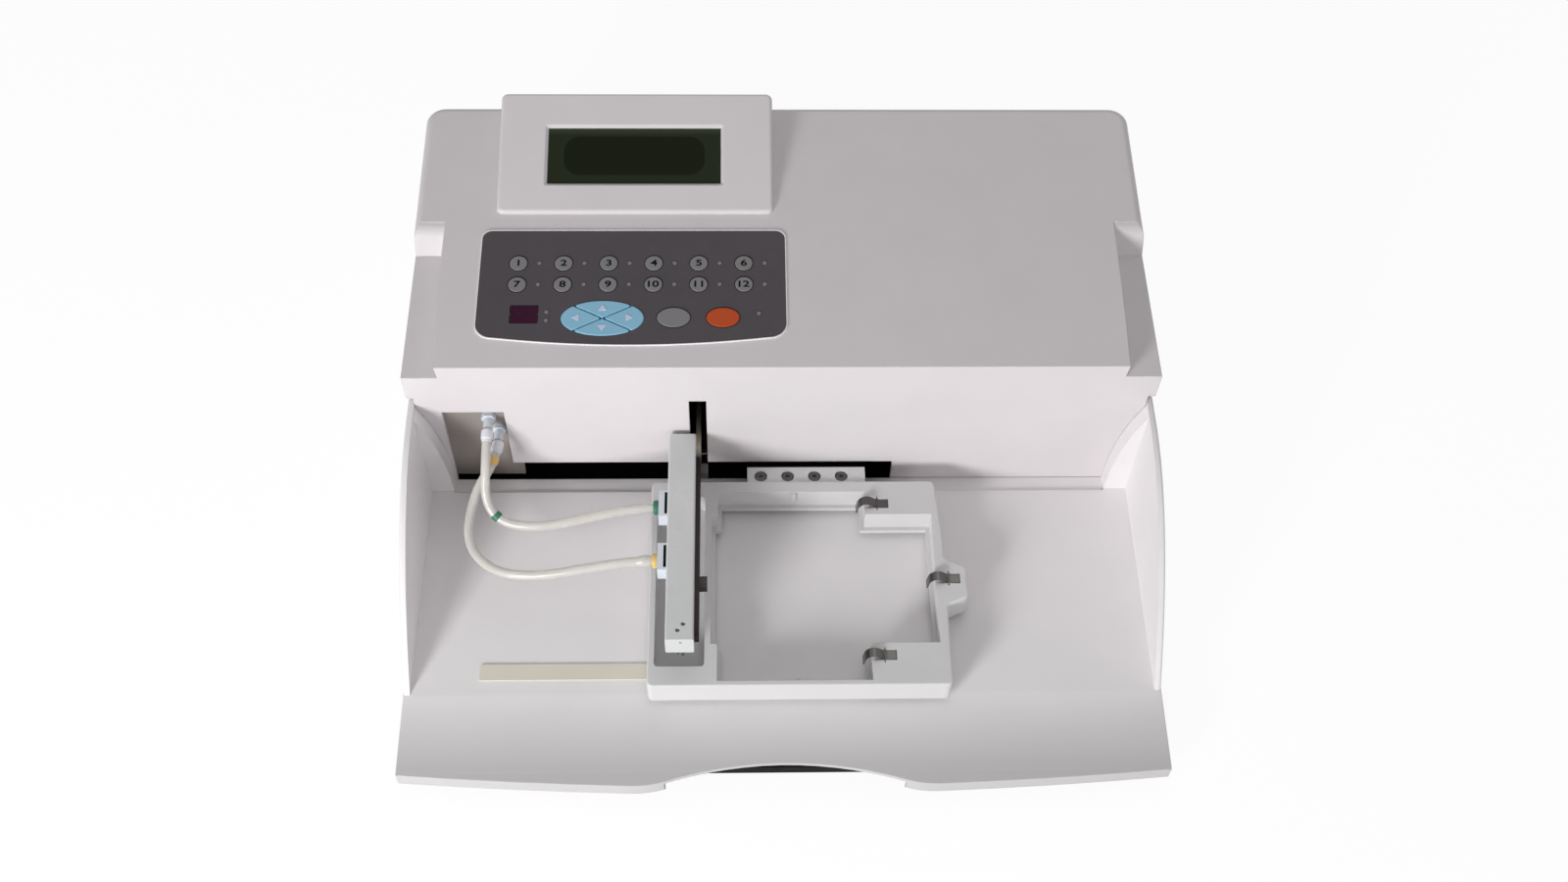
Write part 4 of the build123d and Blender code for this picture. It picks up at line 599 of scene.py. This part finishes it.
def text_mesh(text, height):
    """Flat mesh of a short plain number, centred."""
    data = bpy.data.curves.new("text", "FONT")
    data.body = text
    data.size = height
    data.align_x = "CENTER"
    data.align_y = "CENTER"
    data.extrude = PRINT_DEPTH
    data.offset = PRINT_WEIGHT
    holder = bpy.data.objects.new("text", data)
    scene.collection.objects.link(holder)
    mesh = bpy.data.meshes.new_from_object(holder)
    bpy.data.objects.remove(holder)
    xs = [v.co.x for v in mesh.vertices]
    ys = [v.co.y for v in mesh.vertices]
    mesh.transform(Matrix.Translation((-(min(xs) + max(xs)) / 2, -(min(ys) + max(ys)) / 2, 0)))
    mesh.transform(Matrix.Diagonal((PRINT_STRETCH, 1, 1, 1)))
    return mesh


for number in range(1, 13):
    node = f"number_key_{number:02d}"
    middle = centre_of(node)
    place, normal = surface_point(node, middle.x, middle.y)
    mesh = text_mesh(str(number), PRINT_HEIGHT)
    lay_on(mesh, place, normal, PRINT_LIFT)
    new_piece(f"number_{number:02d}", mesh, print_and_shade_black, node + "_body")


def plate_mesh(name, outline, thickness, bevel=0.0):
    """Flat plate from an outline round the origin."""
    made = bmesh.new()
    base = [made.verts.new((x, y, 0)) for x, y in outline]
    face = made.faces.new(base)
    top = bmesh.ops.extrude_face_region(made, geom=[face])
    lifted = [v for v in top["geom"] if isinstance(v, bmesh.types.BMVert)]
    bmesh.ops.translate(made, verts=lifted, vec=(0, 0, thickness))
    if bevel:
        edges = [e for e in made.edges if all(v in lifted for v in e.verts)]
        bmesh.ops.bevel(made, geom=edges, offset=bevel, segments=2, affect="EDGES")
    bmesh.ops.recalc_face_normals(made, faces=made.faces)
    return to_mesh(made, name)


def rounded_outline(half_x, half_y, corner, steps=6):
    """Outline of a rounded rectangle round the origin."""
    outline = []
    for cx, cy, first in ((1, 1, 0), (-1, 1, 90), (-1, -1, 180), (1, -1, 270)):
        outline += arc(cx * (half_x - corner), cy * (half_y - corner), corner, first, 90, steps)
    return outline


def plate_on(name, outline, thickness, bevel, surface, shader, body, turn=None):
    """A thin plate, its thickness and bevel in mm, that lies on a surface's point and normal."""
    mesh = plate_mesh(name, outline, thickness * MM, bevel * MM)
    if turn is not None:
        mesh.transform(Matrix.Rotation(radians(turn), 4, "Z"))
    lay_on(mesh, *surface, 0.0)
    return new_piece(name, mesh, shader, body)


ARROW_OUTLINE = [(x * MM, y * MM) for x, y in ((-2.6, -1.9), (2.6, -1.9), (0, 2.5))]
ARROW_SHIFTS = (
    ("up", (0, 7.0), 0),
    ("down", (0, -7.0), 180),
    ("left", (-15.6, 0), 90),
    ("right", (15.6, 0), -90),
)
arrow_boxes = [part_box("arrow_key_" + direction) for direction, *_ in ARROW_SHIFTS]
arrow_low = [min(low[i] for low, high in arrow_boxes) for i in range(2)]
arrow_high = [max(high[i] for low, high in arrow_boxes) for i in range(2)]
pad = Vector(((arrow_low[0] + arrow_high[0]) / 2, (arrow_low[1] + arrow_high[1]) / 2))
for direction, shift, turn in ARROW_SHIFTS:
    node = "arrow_key_" + direction
    surface = surface_point(node, pad.x + shift[0] * MM, pad.y + shift[1] * MM)
    plate_on(
        node + "_mark", ARROW_OUTLINE, 0.25, 0.12, surface, legend_pale, node + "_body", turn
    )

# The dark red window at the left of the arrow keys: two halves, each in a black rim

window = Vector((-152.6, 41.8)) * MM
for name, shift in (("maroon_upper", 3.3), ("maroon_lower", -3.3)):
    surface = surface_point("keypad_film", window.x, window.y + shift * MM)
    outline = rounded_outline(8.5 * MM, 3.25 * MM, 1.0 * MM)
    plate_on(name + "_rim", outline, 0.05, 0.0, surface, rim_print_and_gap_shade, "housing")
    outline = rounded_outline(8.1 * MM, 2.85 * MM, 0.8 * MM)
    plate_on(name, outline, 0.12, 0.04, surface, maroon, "housing")

# Dark rims in the film round the keys: painted shade standing in for the shadow in the gap round each key

RIM_WIDTH = 0.55 * MM
RIM_LIFT = 0.06 * MM
RIM_STEPS = 48


def key_gap_shade(name, places):
    """Thin dark rings of painted shade on the film round (x, y, half_x, half_y) places, all in metres."""
    made = bmesh.new()
    for x, y, half_x, half_y in places:
        surface, normal = surface_point("keypad_film", x, y + half_y + RIM_WIDTH / 2)
        slope = -normal.y / normal.z
        loops = []
        for grow, lift in ((0.0, 0.0), (0.0, RIM_LIFT), (RIM_WIDTH, RIM_LIFT), (RIM_WIDTH, 0.0)):
            loop = []
            for k in range(RIM_STEPS):
                turn = 2 * pi * k / RIM_STEPS
                px = x + (half_x + grow) * cos(turn)
                py = y + (half_y + grow) * sin(turn)
                loop.append(made.verts.new((px, py, surface.z + (py - surface.y) * slope + lift)))
            loops.append(loop)
        bridge(made, loops)
    bmesh.ops.recalc_face_normals(made, faces=made.faces)
    return new_piece(name, to_mesh(made, name), rim_print_and_gap_shade, "housing")


rim_places = []
for key in [f"number_key_{number:02d}" for number in range(1, 13)] + ["cycle_key", "start_key"]:
    low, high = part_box(key)
    middle = centre_of(key)
    rim_places.append((middle.x, middle.y, (high[0] - low[0]) / 2, (high[1] - low[1]) / 2))
key_gap_shade("key_gap_shade", rim_places)

# Pale line along the film's edge: a painted highlight where the deck's recess catches the light

FILM_BOW = 6.5 * MM
FILM_REAR_RADIUS = 6.0 * MM
FILM_FRONT_RADIUS = 10.0 * MM
EDGE_WIDTH = 0.45 * MM
EDGE_LIFT = 0.35 * MM
EDGE_INSIDE = 0.05 * MM
EDGE_SPREAD = 0.1 * MM
EDGE_SINK = 0.1 * MM
EDGE_FOOT = -0.6 * MM
FRONT_SWEEP = 80  # degrees that a front corner turns through
FRONT_CENTRE = 0.86  # how far its centre lies behind the chord, as a share of its radius
CORNER_STEPS = 8
BOW_STEPS = 40


def film_outline(low, high, grow):
    """Outline of the film, grown outwards: rounded rear corners, then the bowed front edge."""
    left, right = low[0] - grow, high[0] + grow
    rear, front = high[1] + grow, low[1] - grow
    middle = (left + right) / 2
    chord = front + FILM_BOW
    bow_radius = ((right - left) ** 2 / 4 + FILM_BOW**2) / (2 * FILM_BOW)
    r = FILM_REAR_RADIUS
    outline = arc(right - r, rear - r, r, 0, 90, CORNER_STEPS)
    outline += arc(left + r, rear - r, r, 90, 90, CORNER_STEPS)
    r = FILM_FRONT_RADIUS
    corner_y = chord + r * FRONT_CENTRE
    outline += arc(left + r, corner_y, r, 180, FRONT_SWEEP, CORNER_STEPS)
    for k in range(1, BOW_STEPS):
        x = left + r + (right - left - 2 * r) * k / BOW_STEPS
        outline.append((x, front + bow_radius - (bow_radius**2 - (x - middle) ** 2) ** 0.5))
    outline += arc(right - r, corner_y, r, 360 - FRONT_SWEEP, FRONT_SWEEP, CORNER_STEPS)
    return outline


film_low, film_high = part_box("keypad_film")
film_point, film_normal = surface_point("keypad_film", film_low[0] + 4 * MM, (film_low[1] + film_high[1]) / 2)
film_slope = -film_normal.y / film_normal.z
made = bmesh.new()
loops = []
for grow, lift in (
    (-EDGE_INSIDE, 0.0),
    (0.0, EDGE_LIFT),
    (EDGE_WIDTH, EDGE_LIFT),
    (EDGE_WIDTH + EDGE_SPREAD, EDGE_FOOT),
):
    loop = [
        made.verts.new((x, y, film_point.z + (y - film_point.y) * film_slope + lift - EDGE_SINK))
        for x, y in film_outline(film_low, film_high, grow)
    ]
    loops.append(loop)
bridge(made, loops)
bmesh.ops.recalc_face_normals(made, faces=made.faces)
# Near-white colour of the painted highlight
edge_highlight_white = Shader("edge_highlight_white", linear(250, 249, 250), 0.3)
edge_highlight_white.tint(edge_highlight_white.noise(12, 2.0), linear(243, 241, 243))
new_piece("film_edge_highlight", to_mesh(made, "film_edge_highlight"), edge_highlight_white, "housing")

# Rings on the head's two fittings, and by each a thin dark slot that is painted shade where the fitting meets
# the head

FITTING_Z = 68.0 * MM
RING_STEPS = (0, 0.4, 1.0, 2.2, 2.8, 3.2)
RING_SHARES = (0.82, 0.95, 1.0, 1.0, 0.95, 0.82)

head_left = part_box("wash_head")[0][0]
fitting_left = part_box("head_fittings")[0][0]
for name, y, radius, shader in (
    ("supply_ring", -45.5 * MM, 4.5 * MM, green_plastic),
    ("drain_ring", -82.0 * MM, 4.4 * MM, amber_plastic),
):
    start = Vector((fitting_left - 0.2 * MM, y, FITTING_Z))
    places = [start + Vector((step * MM, 0, 0)) for step in RING_STEPS]
    radii = [radius * share for share in RING_SHARES]
    ring = new_piece(name, tube_mesh(name, places, radii, BAND_SIDES), shader, "head")
    smooth(ring, 40)
    # Dark slot mark: painted shade in the join between fitting and head
    surface = surface_point("head_fittings", head_left - 1.2 * MM, y)
    outline = rounded_outline(0.8 * MM, 7.4 * MM, 0.3 * MM)
    plate_on(name + "_slot", outline, 0.15, 0.05, surface, print_and_shade_black, "head")

# Floor, world and lamps

FLOOR_SIZE = 12.0
FLOOR_GREY = 0.80
FLOOR_GLOW = 1.06
GLOW_SHARE = 0.87
WORLD_DIM = 0.30
floor_mesh = bpy.data.meshes.new("floor")
half = FLOOR_SIZE / 2
floor_mesh.from_pydata(
    [(-half, -half, 0), (half, -half, 0), (half, half, 0), (-half, half, 0)], [], [(0, 1, 2, 3)]
)
floor = bpy.data.objects.new("floor", floor_mesh)
scene.collection.objects.link(floor)


def seen_directly(tree):
    """1 for camera, glossy and transmission rays, 0 for the light that falls on things."""
    path = tree.nodes.new("ShaderNodeLightPath")
    total = path.outputs["Is Camera Ray"]
    for name in ("Is Glossy Ray", "Is Transmission Ray"):
        add = tree.nodes.new("ShaderNodeMath")
        add.operation = "MAXIMUM"
        tree.links.new(total, add.inputs[0])
        tree.links.new(path.outputs[name], add.inputs[1])
        total = add.outputs[0]
    return total


floor_material = bpy.data.materials.new("floor")
floor_material.use_nodes = True
tree = floor_material.node_tree
tree.nodes.clear()
matte = tree.nodes.new("ShaderNodeBsdfDiffuse")
matte.inputs["Color"].default_value = (FLOOR_GREY, FLOOR_GREY, FLOOR_GREY, 1)
glow = tree.nodes.new("ShaderNodeEmission")
glow.inputs["Color"].default_value = (1, 1, 1, 1)
glow.inputs["Strength"].default_value = FLOOR_GLOW
share = tree.nodes.new("ShaderNodeMath")
share.operation = "MULTIPLY"
share.inputs[1].default_value = GLOW_SHARE
tree.links.new(seen_directly(tree), share.inputs[0])
mix = tree.nodes.new("ShaderNodeMixShader")
tree.links.new(share.outputs[0], mix.inputs[0])
tree.links.new(matte.outputs[0], mix.inputs[1])
tree.links.new(glow.outputs[0], mix.inputs[2])
output = tree.nodes.new("ShaderNodeOutputMaterial")
tree.links.new(mix.outputs[0], output.inputs["Surface"])
floor_mesh.materials.append(floor_material)

world = bpy.data.worlds.new("world")
scene.world = world
world.use_nodes = True
tree = world.node_tree
tree.nodes.clear()
dim = tree.nodes.new("ShaderNodeBackground")
dim.inputs["Color"].default_value = (1, 1, 1, 1)
dim.inputs["Strength"].default_value = WORLD_DIM
bright = tree.nodes.new("ShaderNodeBackground")
bright.inputs["Color"].default_value = (1, 1, 1, 1)
bright.inputs["Strength"].default_value = 1.0
mix = tree.nodes.new("ShaderNodeMixShader")
tree.links.new(seen_directly(tree), mix.inputs[0])
tree.links.new(dim.outputs[0], mix.inputs[1])
tree.links.new(bright.outputs[0], mix.inputs[2])
output = tree.nodes.new("ShaderNodeOutputWorld")
tree.links.new(mix.outputs[0], output.inputs["Surface"])


def area_lamp(name, place, aim, size, power):
    """Soft square lamp turned towards a point."""
    data = bpy.data.lights.new(name, "AREA")
    data.size = size
    data.energy = power
    lamp = bpy.data.objects.new(name, data)
    place = Vector(place)
    turn = (Vector(aim) - place).to_track_quat("-Z", "Y").to_matrix().to_4x4()
    lamp.matrix_world = Matrix.Translation(place) @ turn
    scene.collection.objects.link(lamp)


area_lamp("key_left", (-0.95, -1.45, 0.62), (0, 0, 0.08), 0.45, 24)
area_lamp("fill_right", (1.2, -1.5, 0.45), (0, 0, 0.08), 1.0, 5)
area_lamp("top_back", (0.2, 0.9, 1.7), (0, 0, 0.1), 1.2, 3)
